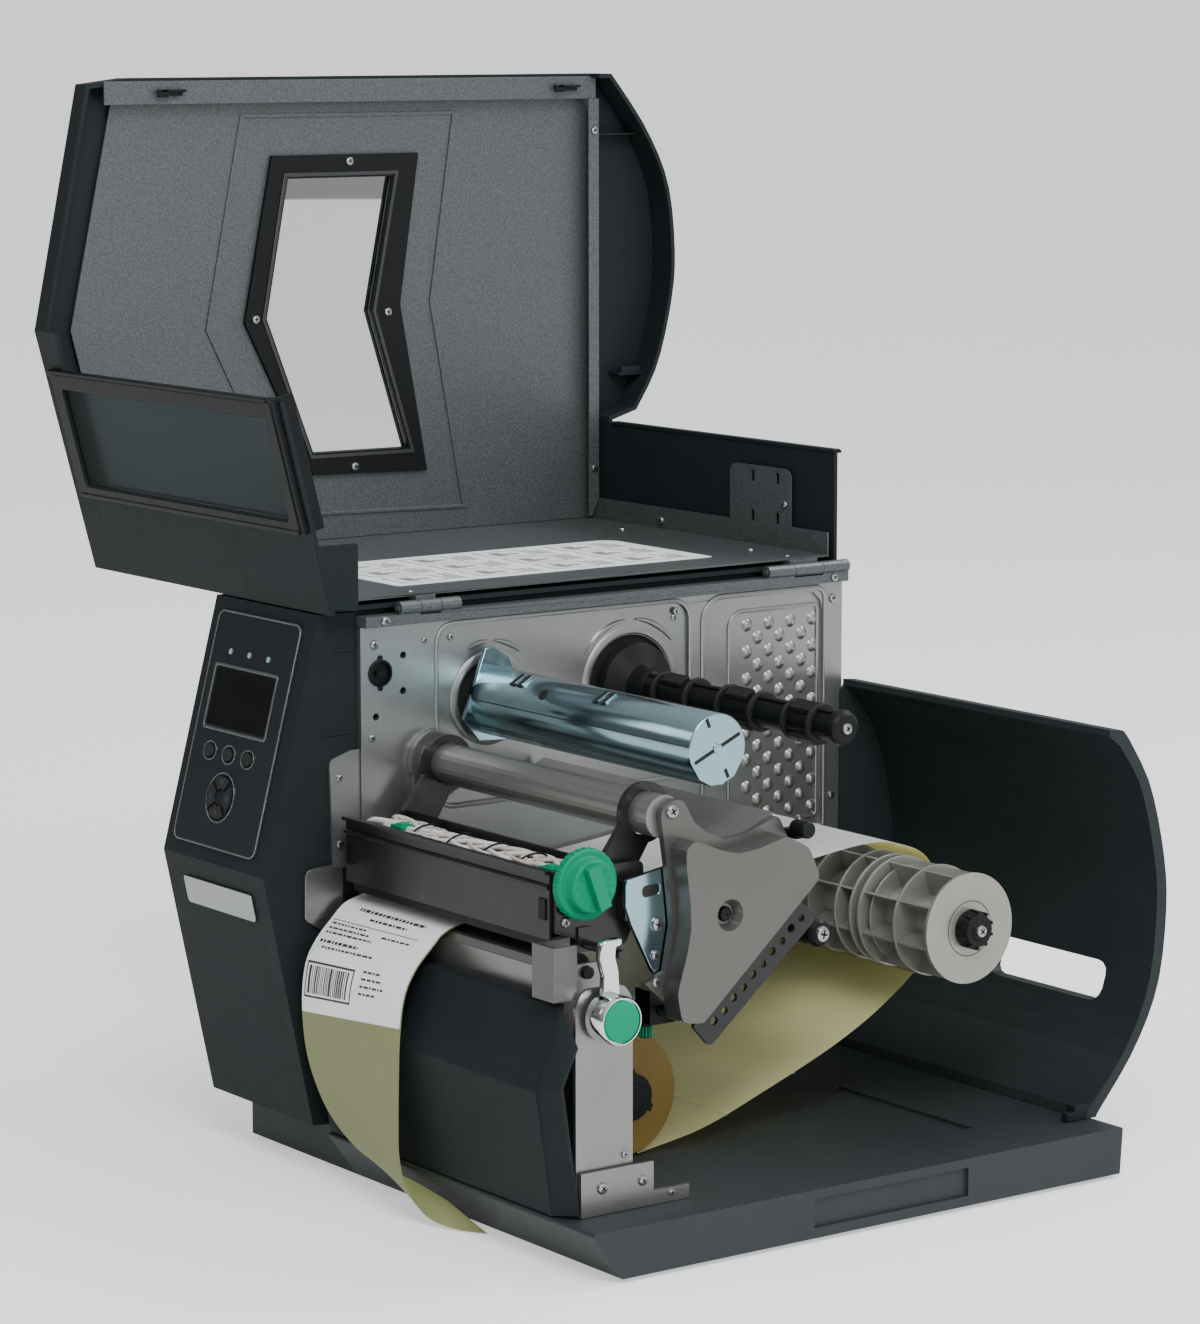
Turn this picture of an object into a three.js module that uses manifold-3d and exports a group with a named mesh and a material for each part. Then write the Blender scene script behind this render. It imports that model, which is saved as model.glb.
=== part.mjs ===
// Industrial thermal-transfer label printer with its side cover swung open.
// Millimetres, +Z up, +X towards the media side, and the front faces -Y. It is drawn with
// X = 0 on the media side of the centre wall, Y = 0 half way back along the base and Z = 0 on
// the base's underside, and then moved to stand on the origin.
import * as THREE from "three";
import { mergeVertices } from "three/addons/utils/BufferGeometryUtils.js";
import Module from "manifold-3d";

const wasm = await Module();
wasm.setup();

// ---- driving dimensions -------------------------------------------------------------------
const GAP = 0.4; // between pieces that touch
const SKIN = 3; // moulded plastic wall
const SHEET = 1.2; // folded sheet metal
const BASE_LEFT = -111;
const BASE_RIGHT = 278;
const BASE_FRONT = -185;
const BASE_REAR = 185;
const BASE_TOP = 28.4;
const BASE_LIP = -206; // the base's top edge leans out to here in front
const FOOT_HEIGHT = 2.5;
const WALL_THICK = 5;
const WALL_FRONT = -173.5;
const WALL_REAR = 194;
const WALL_BOTTOM = 29.2;
const WALL_TOP = 328.8;
const BOX_LEFT = -119.3;
const BOX_TOP = 338.2;
const BOX_REAR = 190;
const FASCIA_RIGHT = -4;
const FASCIA_BACK = -174.2;
const HINGE_X = 4;
const HINGE_Z = 339;
const KNUCKLE_RADIUS = 4.2;
const PIN_RADIUS = 1.8;
const NOSE = { top: [-200.2, BOX_TOP], vertex: [-240.5, 185], bottom: [-207.7, 30.8] };
const COVER_SIDE = 277.7; // outer face of the closed cover
const COVER_START = 9.5; // where the closed cover's top plate begins, beside the hinge
const COVER_TOP = 338.7;
const COVER_BOTTOM = 29.4;
const COVER_REAR = 190.8;
const REAR_COVER_RIGHT = 252;
const TUBE = { y: -122, z: 244.5, radius: 12.3, end: 230.6 };
const PLATEN = { y: -168.5, z: 160.2, radius: 9.5 };
const PRINT_LINE = PLATEN.z + PLATEN.radius + 0.7;
const HEAD = { left: 8, right: 216, front: -190, back: -150, bottom: 180, top: 219 };
const TAKE_UP = { y: -79.8, z: 278.2, radius: 20, end: 225 };
const SUPPLY = { y: 26, z: 277, radius: 9, end: 211 };
const MEDIA_HUB = { y: 105, z: 152, radius: 34, end: 230.5 };
const REWIND = { y: -97, z: 66.5, core: 14, roll: 36.8 };
const WEB = { left: 4, right: 160, thick: 0.4 };
const LATCH = { y: -175.3, z: 141 };
const KNOB = { y: -171.5, z: 211 };
const MOTOR = { y: -138, z: 112, size: 56 };
const SENSOR_RAIL = { y: -108, z: 128 };

// ---- geometry helpers ---------------------------------------------------------------------
function toSolid(geometry) {
  const bare = geometry.clone();
  bare.deleteAttribute("normal");
  bare.deleteAttribute("uv");
  const merged = mergeVertices(bare, 1e-4);
  const points = merged.attributes.position;
  const corner = [new THREE.Vector3(), new THREE.Vector3(), new THREE.Vector3()];
  const triangles = [];
  let volume = 0;
  for (let i = 0; i < merged.index.count; i += 3) {
    const [a, b, c] = [0, 1, 2].map((k) => merged.index.getX(i + k));
    if (a === b || b === c || a === c) continue;
    corner.forEach((vector, k) => vector.fromBufferAttribute(points, [a, b, c][k]));
    volume += corner[0].dot(corner[1].clone().cross(corner[2]));
    triangles.push([a, b, c]);
  }
  const wound = volume > 0 ? triangles : triangles.map(([a, b, c]) => [a, c, b]);
  return new wasm.Manifold(
    new wasm.Mesh({
      numProp: 3,
      vertProperties: new Float32Array(points.array),
      triVerts: new Uint32Array(wound.flat()),
    }),
  );
}

function toGeometry(solid) {
  const mesh = solid.getMesh();
  const geometry = new THREE.BufferGeometry();
  const points = new Float32Array(mesh.vertProperties);
  geometry.setAttribute("position", new THREE.BufferAttribute(points, 3));
  geometry.setIndex(new THREE.BufferAttribute(new Uint32Array(mesh.triVerts), 1));
  geometry.computeVertexNormals();
  return geometry;
}

function join(first, ...others) {
  return toGeometry(others.reduce((solid, other) => solid.add(toSolid(other)), toSolid(first)));
}

function cut(first, ...others) {
  return toGeometry(others.reduce((solid, other) => solid.subtract(toSolid(other)), toSolid(first)));
}

function block(x0, x1, y0, y1, z0, z1) {
  const box = new THREE.BoxGeometry(x1 - x0, y1 - y0, z1 - z0);
  return box.translate((x0 + x1) / 2, (y0 + y1) / 2, (z0 + z1) / 2);
}

// A closed ring of points; a point's third number rounds that corner with an arc.
function ringOf(points) {
  const ring = [];
  points.forEach(([a, b, radius = 0], index) => {
    if (radius === 0) {
      ring.push(new THREE.Vector2(a, b));
      return;
    }
    const corner = new THREE.Vector2(a, b);
    const before = new THREE.Vector2(...points.at(index - 1).slice(0, 2)).sub(corner).normalize();
    const after = new THREE.Vector2(...points[(index + 1) % points.length].slice(0, 2)).sub(corner).normalize();
    const angle = Math.acos(THREE.MathUtils.clamp(before.dot(after), -1, 1));
    const centre = before.clone().add(after).normalize().multiplyScalar(radius / Math.sin(angle / 2)).add(corner);
    const start = before.multiplyScalar(radius / Math.tan(angle / 2)).add(corner).sub(centre);
    const end = after.multiplyScalar(radius / Math.tan(angle / 2)).add(corner).sub(centre);
    const turn = Math.atan2(start.cross(end), start.dot(end));
    const steps = Math.max(2, Math.round(Math.abs(turn) / 0.45));
    for (let k = 0; k <= steps; k += 1) {
      ring.push(start.clone().rotateAround(new THREE.Vector2(), (turn * k) / steps).add(centre));
    }
  });
  return ring;
}

function extrude(points, depth, holes = []) {
  const shape = new THREE.Shape(ringOf(points));
  holes.forEach((hole) => shape.holes.push(new THREE.Path(ringOf(hole))));
  return new THREE.ExtrudeGeometry(shape, { depth, bevelEnabled: false, curveSegments: 12 });
}

// Outline in (y, z), extruded from x0 to x1.
function sideSlab(points, x0, x1, holes = []) {
  const slab = extrude(points, x1 - x0, holes);
  const turn = new THREE.Matrix4().makeBasis(
    new THREE.Vector3(0, 1, 0),
    new THREE.Vector3(0, 0, 1),
    new THREE.Vector3(1, 0, 0),
  );
  return slab.applyMatrix4(turn).translate(x0, 0, 0);
}

// Outline in (x, z), extruded from y0 to y1.
function frontSlab(points, y0, y1, holes = []) {
  return extrude(points, y1 - y0, holes).rotateX(Math.PI / 2).translate(0, y1, 0);
}

// A flat panel from one [y, z] edge at x0 to another at x1, thick towards the rear.
function bridge(from, x0, to, x1, thick) {
  const near = [...from.map(([y, z]) => [x0, y, z]), ...to.map(([y, z]) => [x1, y, z])];
  const far = near.map(([x, y, z]) => [x, y + thick, z]);
  return toGeometry(wasm.Manifold.hull([...near, ...far]));
}

function rod(x0, x1, y, z, radius, sides = 24) {
  const cylinder = new THREE.CylinderGeometry(radius, radius, x1 - x0, sides);
  return cylinder.rotateZ(Math.PI / 2).translate((x0 + x1) / 2, y, z);
}

function rodAlongY(x, y0, y1, z, radius, sides = 24) {
  return new THREE.CylinderGeometry(radius, radius, y1 - y0, sides).translate(x, (y0 + y1) / 2, z);
}

function rodAlongZ(x, y, z0, z1, radius, sides = 24) {
  const cylinder = new THREE.CylinderGeometry(radius, radius, z1 - z0, sides);
  return cylinder.rotateX(Math.PI / 2).translate(x, y, (z0 + z1) / 2);
}

// A profile of [x, radius] pairs turned about an axis along X through (y, z).
function turned(profile, y, z, sides = 24) {
  const points = profile.map(([x, radius]) => new THREE.Vector2(radius, x));
  return new THREE.LatheGeometry(points, sides).rotateZ(-Math.PI / 2).translate(0, y, z);
}

// The ring between two radii about an axis along X.
function sleeve(x0, x1, y, z, inner, outer, sides = 28) {
  return turned([[x0, inner], [x0, outer], [x1, outer], [x1, inner], [x0, inner]], y, z, sides);
}

// The outline pulled inwards by a distance, for the inside of a wall.
function inset(points, distance) {
  const area = points.reduce((sum, [a, b], i) => {
    const [c, d] = points[(i + 1) % points.length];
    return sum + a * d - b * c;
  }, 0);
  const side = Math.sign(area);
  return points.map(([a, b], i) => {
    const [pa, pb] = points.at(i - 1);
    const [na, nb] = points[(i + 1) % points.length];
    const inward = [[a - pa, b - pb], [na - a, nb - b]].map(([da, db]) => {
      const length = Math.hypot(da, db);
      return [(-db / length) * side, (da / length) * side];
    });
    const scale = distance / (1 + inward[0][0] * inward[1][0] + inward[0][1] * inward[1][1]);
    return [a + (inward[0][0] + inward[1][0]) * scale, b + (inward[0][1] + inward[1][1]) * scale];
  });
}

// Points along a smooth curve through a few [y, z] points.
function smooth(points, count) {
  const curve = new THREE.SplineCurve(points.map(([a, b]) => new THREE.Vector2(a, b)));
  return curve.getPoints(count).map((point) => [point.x, point.y]);
}

// A strip of even thickness that follows a path of [y, z] points.
function ribbon(path, thick) {
  const half = thick / 2;
  const side = path.map(([y, z], i) => {
    const [y0, z0] = path[Math.max(i - 1, 0)];
    const [y1, z1] = path[Math.min(i + 1, path.length - 1)];
    const length = Math.hypot(y1 - y0, z1 - z0);
    return [(-(z1 - z0) / length) * half, ((y1 - y0) / length) * half, y, z];
  });
  const upper = side.map(([ny, nz, y, z]) => [y + ny, z + nz]);
  const lower = side.map(([ny, nz, y, z]) => [y - ny, z - nz]);
  return [...upper, ...lower.reverse()];
}

// ---- assembly -----------------------------------------------------------------------------
const printer = new THREE.Group();
const cover = new THREE.Group();
cover.position.set(HINGE_X, 0, HINGE_Z);
cover.rotation.y = Math.PI; // open: half a turn about its hinge
printer.add(cover);

const CHARCOAL = [0x30373a, 0.55, 0];
const BLACK = [0x16181a, 0.5, 0];
const CAST_GREY = [0x8d8c88, 0.42, 0.55];
const WALL_GREY = [0xa3a5a2, 0.45, 0.5];
const HAMMERED = [0x5f6667, 0.5, 0.4];
const ZINC = [0xa9bdc0, 0.28, 0.9];
const CHROME = [0xd5dadb, 0.12, 1];
const GREEN = [0x0fae78, 0.4, 0];
const RUBBER = [0x1b1b1c, 0.85, 0];

function add(name, geometry, [color, roughness, metalness], parent = printer) {
  const material = new THREE.MeshStandardMaterial({ color, roughness, metalness });
  const mesh = new THREE.Mesh(geometry, material);
  mesh.name = name;
  parent.add(mesh);
}

// Cover pieces are drawn where they are when the cover is closed.
function addToCover(name, geometry, look) {
  add(name, geometry.translate(-HINGE_X, 0, -HINGE_Z), look, cover);
}

// ---- base ---------------------------------------------------------------------------------
function makeBase() {
  const right = sideSlab(
    [[BASE_FRONT, 0], [BASE_REAR, 0], [BASE_REAR + 2, BASE_TOP, 1.5], [BASE_LIP, BASE_TOP, 1.5]],
    8,
    BASE_RIGHT,
  );
  const left = block(BASE_LEFT, 9, BASE_FRONT, BASE_REAR, 0, BASE_TOP);
  const wall = 4;
  const hollow = block(
    BASE_LEFT + wall, BASE_RIGHT - wall, BASE_FRONT + wall, BASE_REAR - wall, -1, BASE_TOP - wall,
  );
  const fingerRecess = block(BASE_RIGHT - 2.5, BASE_RIGHT + 1, -50, 65, 6, 23);
  const floorGroove = block(100, 226, 101, 113, BASE_TOP - 2, BASE_TOP + 1);
  add("base_pan", cut(join(right, left), hollow, fingerRecess, floorGroove), CHARCOAL);

  const edge = wall + GAP;
  const plate = block(
    BASE_LEFT + edge, BASE_RIGHT - edge, BASE_FRONT + edge, BASE_REAR - edge, 0, 1.5,
  );
  add("base_plate", plate, ZINC);

  const feet = [[-88, -160], [250, -160], [-88, 160], [250, 160]];
  feet.forEach(([x, y], index) => {
    const foot = turned([[-FOOT_HEIGHT, 0], [-FOOT_HEIGHT, 8], [-0.3, 9.5], [-0.3, 0]], 0, 0, 16);
    add(`rubber_foot_${index + 1}`, foot.rotateY(-Math.PI / 2).translate(x, y, 0), RUBBER);
  });
}

// ---- centre wall and hinge rail -----------------------------------------------------------
const FIXED_KNUCKLES = [[-149, -135], [-120, -106], [129, 150], [173, 194]];
const MOVING_KNUCKLES = [[-134.6, -120.4], [150.4, 172.6]];
const HINGE_PINS = [[-150, -105], [128, 193.5]];

function makeWall() {
  const outline = [
    [WALL_FRONT, WALL_BOTTOM], [WALL_REAR, WALL_BOTTOM], [WALL_REAR, WALL_TOP], [WALL_FRONT, WALL_TOP],
  ];
  const plate = sideSlab(outline, -WALL_THICK, 0);
  const pocketDepth = 1.8;
  const hubPocket = sideSlab(
    [[-118, 216, 8], [70, 216, 8], [70, 325, 8], [-118, 325, 8]], -pocketDepth, 1,
  );
  const dimplePocket = sideSlab(
    [[83, 168, 8], [178, 168, 8], [178, 324.5, 14], [83, 324.5, 14]], -pocketDepth, 1,
  );
  const bores = [
    [TAKE_UP.y, TAKE_UP.z, 23], [SUPPLY.y, SUPPLY.z, 31], [MEDIA_HUB.y, MEDIA_HUB.z, 8.5],
    [REWIND.y, REWIND.z, 7], [-159.8, 300.7, 8.5], [-143.3, 310.1, 2.2], [-143.5, 288.6, 2.2],
    [-162.9, 274.5, 2.2], [PLATEN.y, PLATEN.z, 4.2],
  ].map(([y, z, radius]) => rod(-6, 1, y, z, radius, radius > 10 ? 32 : 12));
  const platenSlot = block(-6, 1, WALL_FRONT - 1, PLATEN.y, PLATEN.z - 4, PLATEN.z + 4);
  const cableSlot = block(-6, 1, -158, -140, 196, 208);
  const frontTab = [
    [-195, 251, 4], [-193, 187], [-184, 185.5], [WALL_FRONT + 1, 185.5], [WALL_FRONT + 1, 256], [-180, 256, 6],
  ];
  const wall = join(plate, sideSlab(frontTab, -3.4, -1.6));
  add("center_wall", cut(wall, hubPocket, dimplePocket, ...bores, platenSlot, cableSlot), WALL_GREY);

  const rail = block(-WALL_THICK, 6.5, WALL_FRONT, WALL_REAR, WALL_TOP + GAP, 335.6);
  const knuckles = FIXED_KNUCKLES.map(([y0, y1]) => rodAlongY(HINGE_X, y0, y1, HINGE_Z, KNUCKLE_RADIUS, 12));
  const reliefs = MOVING_KNUCKLES.map(([y0, y1]) =>
    rodAlongY(HINGE_X, y0 - GAP, y1 + GAP, HINGE_Z, KNUCKLE_RADIUS + 0.8, 12));
  const pins = HINGE_PINS.map(([y0, y1]) => rodAlongY(HINGE_X, y0, y1, HINGE_Z, PIN_RADIUS, 8));
  add("hinge_rail", join(cut(join(rail, ...knuckles), ...reliefs), ...pins), HAMMERED);

}

// ---- electronics side ---------------------------------------------------------------------
const TILT_UP = Math.atan2(NOSE.vertex[0] - NOSE.top[0], NOSE.top[1] - NOSE.vertex[1]);

// From a vertical sheet at y = 0, with z = 0 at the nose, to the leaning upper face.
function ontoUpperFace(geometry) {
  return geometry.rotateX(TILT_UP).translate(0, ...NOSE.vertex);
}

const KEY_ROW = { x: [-87, -65.5, -44], height: 65.6, half: [5.5, 4] };
const LIGHT_ROW = { x: [-87, -65.5, -44], height: 126.5, radius: 2 };
const NAV = { x: -65, height: 39.5, inner: 5.5, outer: 13, halfAngle: 0.62 };
const NAV_KEYS = { right: 0, up: 1, left: 2, down: 3 };
const SCREEN = { left: -97.5, right: -32.5, low: 82, high: 115 };
const KEY_TOP = -3.2;
const KEY_BACK = 5.6;

function ellipse(x, z, halfWidth, halfHeight, count = 14) {
  return Array.from({ length: count }, (_, k) => {
    const angle = (2 * Math.PI * k) / count;
    return [x + halfWidth * Math.cos(angle), z + halfHeight * Math.sin(angle)];
  });
}

function sector(quarter, grow = 0) {
  const middle = (quarter * Math.PI) / 2;
  const half = NAV.halfAngle + grow / NAV.inner / 2;
  const arc = (radius, from, to) =>
    Array.from({ length: 4 }, (_, k) => {
      const angle = middle + from + ((to - from) * k) / 3;
      return [NAV.x + radius * Math.cos(angle), NAV.height + radius * Math.sin(angle)];
    });
  return [...arc(NAV.outer + grow, -half, half), ...arc(NAV.inner - grow, half, -half)];
}

function keyHoles() {
  const clear = 0.5;
  const soft = KEY_ROW.x.map((x) => ellipse(x, KEY_ROW.height, KEY_ROW.half[0] + clear, KEY_ROW.half[1] + clear));
  const nav = Object.values(NAV_KEYS).map((quarter) => sector(quarter, clear));
  const lights = LIGHT_ROW.x.map((x) => ellipse(x, LIGHT_ROW.height, LIGHT_ROW.radius + clear, LIGHT_ROW.radius + clear, 8));
  return [...soft, ...nav, ...lights];
}

function rectangle(left, right, low, high, radius = 0) {
  return [[left, low, radius], [right, low, radius], [right, high, radius], [left, high, radius]];
}

function makeFascia() {
  const outline = [NOSE.top, NOSE.vertex, NOSE.bottom, [-186, 29.2], [FASCIA_BACK, 29.2], [FASCIA_BACK, BOX_TOP]];
  const shell = sideSlab(outline, BOX_LEFT, FASCIA_RIGHT);
  const inner = inset(outline, SKIN).map(([y, z]) => (y > -185 ? [FASCIA_BACK + 5, z] : [y, z]));
  const hollow = sideSlab(inner, BOX_LEFT + SKIN, FASCIA_RIGHT - SKIN);
  const screenHole = rectangle(SCREEN.left - 1, SCREEN.right + 1, SCREEN.low - 1, SCREEN.high + 1, 1);
  const drills = [screenHole, ...keyHoles()].map((hole) => ontoUpperFace(frontSlab(hole, -2, SKIN + 3)));
  add("control_fascia", cut(shell, hollow, ...drills), CHARCOAL);

  const face = rectangle(-108.4, -17, 10, 149.5, 5);
  const bezel = frontSlab(face, -1.8, -0.3, [screenHole, ...keyHoles()]);
  add("display_bezel", ontoUpperFace(bezel), BLACK);
  const lights = LIGHT_ROW.x.map((x) =>
    frontSlab(ellipse(x, LIGHT_ROW.height, LIGHT_ROW.radius, LIGHT_ROW.radius, 8), -2.4, 8));
  const screen = frontSlab(rectangle(SCREEN.left, SCREEN.right, SCREEN.low, SCREEN.high, 1), -1.4, 8);
  const board = block(-110, -20, 7.2, 8.8, 13, 132);
  add("display_board", ontoUpperFace(join(board, screen, ...lights)), [0x2a302c, 0.3, 0]);

  const soft = KEY_ROW.x.map((x) => (grow) => ellipse(x, KEY_ROW.height, KEY_ROW.half[0] + grow, KEY_ROW.half[1] + grow));
  const makeKey = (outlineAt) => join(frontSlab(outlineAt(0), KEY_TOP, KEY_BACK), frontSlab(outlineAt(1), 3.5, KEY_BACK));
  soft.forEach((outlineAt, index) => add(`soft_key_${index + 1}`, ontoUpperFace(makeKey(outlineAt)), [0xb9bdbc, 0.35, 0.5]));
  Object.entries(NAV_KEYS).forEach(([name, quarter]) => {
    const key = makeKey((grow) => sector(quarter, grow));
    add(`nav_key_${name}`, ontoUpperFace(key), [0xb9bdbc, 0.35, 0.5]);
  });
}

const INLET = { left: -64, right: -14, low: 50, high: 74 };
const SOCKET = { left: -60, right: -36 };
const ROCKER = { left: -29, right: -18 };
const PORTS = { left: -70, right: -20, low: 150, high: 240 };

function makeElectronics() {
  const outer = block(BOX_LEFT, -WALL_THICK - 1, FASCIA_BACK + 0.8, BOX_REAR, BASE_TOP + 0.8, BOX_TOP);
  const inner = block(
    BOX_LEFT + 2.5, -WALL_THICK, FASCIA_BACK - 1, BOX_REAR - 2.5, BASE_TOP, BOX_TOP - 2.5,
  );
  const windows = [INLET, PORTS].map(({ left, right, low, high }) =>
    block(left - GAP, right + GAP, BOX_REAR - 4, BOX_REAR + 1, low - GAP, high + GAP));
  const vents = [];
  for (let row = 0; row < 9; row += 1) {
    const z = 60 + row * 9;
    vents.push(block(BOX_LEFT - 1, BOX_LEFT + 4, 60, 150, z, z + 3.5));
  }
  add("electronics_cover", cut(outer, inner, ...windows, ...vents), CHARCOAL);

  const supply = block(-100, -22, 40, 160, 36, 100);
  const louvres = Array.from({ length: 8 }, (_, k) => block(-101, -96, 52 + k * 12, 58 + k * 12, 48, 88));
  add("power_supply", cut(supply, ...louvres), ZINC);
  const board = block(-26, -24.4, -110, 150, 128, 300);
  const chips = [[-60, 200, 30], [0, 240, 24], [60, 180, 36], [110, 250, 20], [-90, 150, 16]];
  const parts = chips.map(([y, z, size]) => block(-31, -25, y, y + size, z, z + size * 0.8));
  add("main_board", join(board, ...parts), [0x1f6b4a, 0.5, 0]);

  const pocket = ({ left, right }, depth) =>
    block(left, right, BOX_REAR - depth, BOX_REAR + 2, INLET.low + 3, INLET.high - 3);
  const housing = block(INLET.left, INLET.right, BOX_REAR - 14, BOX_REAR + 1, INLET.low, INLET.high);
  const blades = [-54, -48, -42].map((x) => block(x - 1, x + 1, BOX_REAR - 11, BOX_REAR - 2, 58, 65));
  add("power_inlet", join(cut(housing, pocket(SOCKET, 10), pocket(ROCKER, 8)), ...blades), BLACK);
  const middle = (INLET.low + INLET.high) / 2;
  const rocker = [
    [BOX_REAR - 6, middle], [BOX_REAR - 4.4, middle - 7.4], [BOX_REAR + 2.2, middle - 7], [BOX_REAR, middle],
    [BOX_REAR - 0.6, middle + 8.2], [BOX_REAR - 5.4, middle + 7.8],
  ];
  add("power_switch", sideSlab(rocker, ROCKER.left + GAP, ROCKER.right - GAP), BLACK);
  const panel = block(PORTS.left, PORTS.right, BOX_REAR - 1.6, BOX_REAR, PORTS.low, PORTS.high);
  const sockets = [[-64, 160, 12, 14], [-44, 158, 16, 18], [-62, 190, 34, 12], [-62, 214, 36, 14]];
  const holes = sockets.map(([x, z, width, height]) =>
    block(x + 2, x + width - 2, BOX_REAR - 8, BOX_REAR + 3, z + 2, z + height - 2));
  const shells = sockets.map(([x, z, width, height]) => block(x, x + width, BOX_REAR - 12, BOX_REAR + 1.5, z, z + height));
  add("port_panel", cut(join(panel, ...shells), ...holes), ZINC);
}

// Belt outline round two pulleys, at a distance outside both.
function beltLoop(big, bigRadius, small, smallRadius) {
  const along = Math.atan2(small.z - big.z, small.y - big.y);
  const distance = Math.hypot(small.z - big.z, small.y - big.y);
  const lean = Math.acos((bigRadius - smallRadius) / distance);
  const arc = (centre, radius, from, to) =>
    Array.from({ length: 10 }, (_, k) => {
      const angle = along + from + ((to - from) * k) / 9;
      return [centre.y + radius * Math.cos(angle), centre.z + radius * Math.sin(angle)];
    });
  return [...arc(small, smallRadius, -lean, lean), ...arc(big, bigRadius, lean, 2 * Math.PI - lean)];
}

function makeDrive() {
  const half = MOTOR.size / 2;
  const body = sideSlab(
    [[MOTOR.y - half, MOTOR.z - half, 5], [MOTOR.y + half, MOTOR.z - half, 5],
      [MOTOR.y + half, MOTOR.z + half, 5], [MOTOR.y - half, MOTOR.z + half, 5]],
    -72,
    -26,
  );
  add("stepper_motor", join(body, rod(-26.5, -24.5, MOTOR.y, MOTOR.z, 15)), BLACK);
  const motorPulley = join(rod(-21, -12, MOTOR.y, MOTOR.z, 8, 20), rod(-22.5, -11.5, MOTOR.y, MOTOR.z, 4, 12));
  add("motor_pulley", motorPulley, ZINC);

  const { y, z, radius } = PLATEN;
  const shaft = [[-23, 0], [-23, 3.5], [7, 3.5], [7, radius], [212, radius], [212, 3.5], [224, 3.5], [224, 0]];
  add("platen_roller", join(turned(shaft, y, z, 24), rod(-21, -12, y, z, 14, 28)), RUBBER);
  const outside = beltLoop(PLATEN, 14 + GAP + 1.4, MOTOR, 8 + GAP + 1.4);
  const inside = beltLoop(PLATEN, 14 + GAP, MOTOR, 8 + GAP);
  add("drive_belt", sideSlab(outside, -20.5, -12.5, [inside]), RUBBER);
}

// ---- printing mechanism -------------------------------------------------------------------
const CASTING = [
  [-121, 236, 7], [-83.6, 220, 40], [-49, 228, 4], [-33, 220, 8], [-24.5, 201.5, 5], [-108, 128, 5],
  [-123, 130, 6], [-126.5, 147, 14], [-115.5, 183, 60], [-120, 217, 14],
];

function makeFrame() {
  const tube = rod(0.3, TUBE.end, TUBE.y, TUBE.z, TUBE.radius, 28);
  const collar = rod(0.3, 4.5, TUBE.y, TUBE.z, 19, 24);
  const tab = block(0.3, 4.5, -139, -128, 226, 240);
  add("crossbar_tube", join(tube, collar, tab), CAST_GREY);

  const slab = sideSlab(CASTING, 235, 250);
  const dish = turned([[244, 0], [244, 6], [250.5, 9.5], [250.5, 0]], -89.4, 187.5, 20);
  const hole = rod(234, 251, -89.4, 187.5, 4.5, 14);
  const plate = [
    [-128, 250, 7], [-113, 256, 7], [-104, 240], [-83, 224, 30], [-44, 237.5, 3], [-36, 222], [-30, 203],
    [-108, 133], [-118, 133.5], [-138.5, 152], [-124, 157], [-119, 183], [-123, 217],
  ];
  add("side_casting", join(sideSlab(plate, 231, 235.5), cut(slab, dish, hole)), CAST_GREY);

  const trough = smooth([[-102.5, 239], [-95, 229.5], [-83, 223.5], [-66, 227], [-45, 238]], 10);
  const back = [[-44, 230]];
  add("ribbon_deflector", sideSlab(ribbon([...trough, ...back], 1.8), 5, 230.6), CAST_GREY);

  const beam = [[-186, 122, 3], [-152, 118, 3], [-150, 140], [-156, 148], [-180, 148], [-184, 162], [-187, 162]];
  const cheek = [[-183, 140], [-150, 140], [-158, 165, 4], [-176, 165, 4]];
  const frame = join(sideSlab(beam, 0.6, 221), sideSlab(cheek, 217.5, 221));
  const tearBar = sideSlab([[-186.5, 161], [-181, 161], [-180.4, 166.5], [-183, 165.6]], 6, 212);
  add("platen_frame", cut(join(frame, tearBar), rod(216, 222, PLATEN.y, PLATEN.z, 3.9, 20)), HAMMERED);

  add("guide_rod", turned([[0.6, 0], [0.6, 8], [210, 8], [212, 6.5], [212, 0]], 7, 158, 24), BLACK);
  add("sensor_rail", rod(0.6, 230.6, SENSOR_RAIL.y, SENSOR_RAIL.z, 3, 16), ZINC);
  const sensor = cut(
    join(block(196, 210, -116, -98, 120, 140), rodAlongZ(203, -114, 112, 121, 3.5, 16)),
    rod(190, 215, SENSOR_RAIL.y, SENSOR_RAIL.z, 3.5, 16),
  );
  add("media_sensor", sensor, GREEN);
  const strip = [[-97, 120, 3], [-20, 184, 3], [-6, 172, 3], [-84, 106, 3]];
  const punched = [];
  for (let k = 0; k < 5; k += 1) {
    const along = 0.12 + k * 0.18;
    punched.push(rod(221, 226, -90.5 + 77.5 * along, 113 + 65 * along, 2.8, 8));
    punched.push(rod(221, 226, -83 + 77.5 * along, 118 + 65 * along, 2.4, 8));
  }
  add("web_guide_plate", cut(sideSlab(strip, 222, 224.5), ...punched), BLACK);
}

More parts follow.
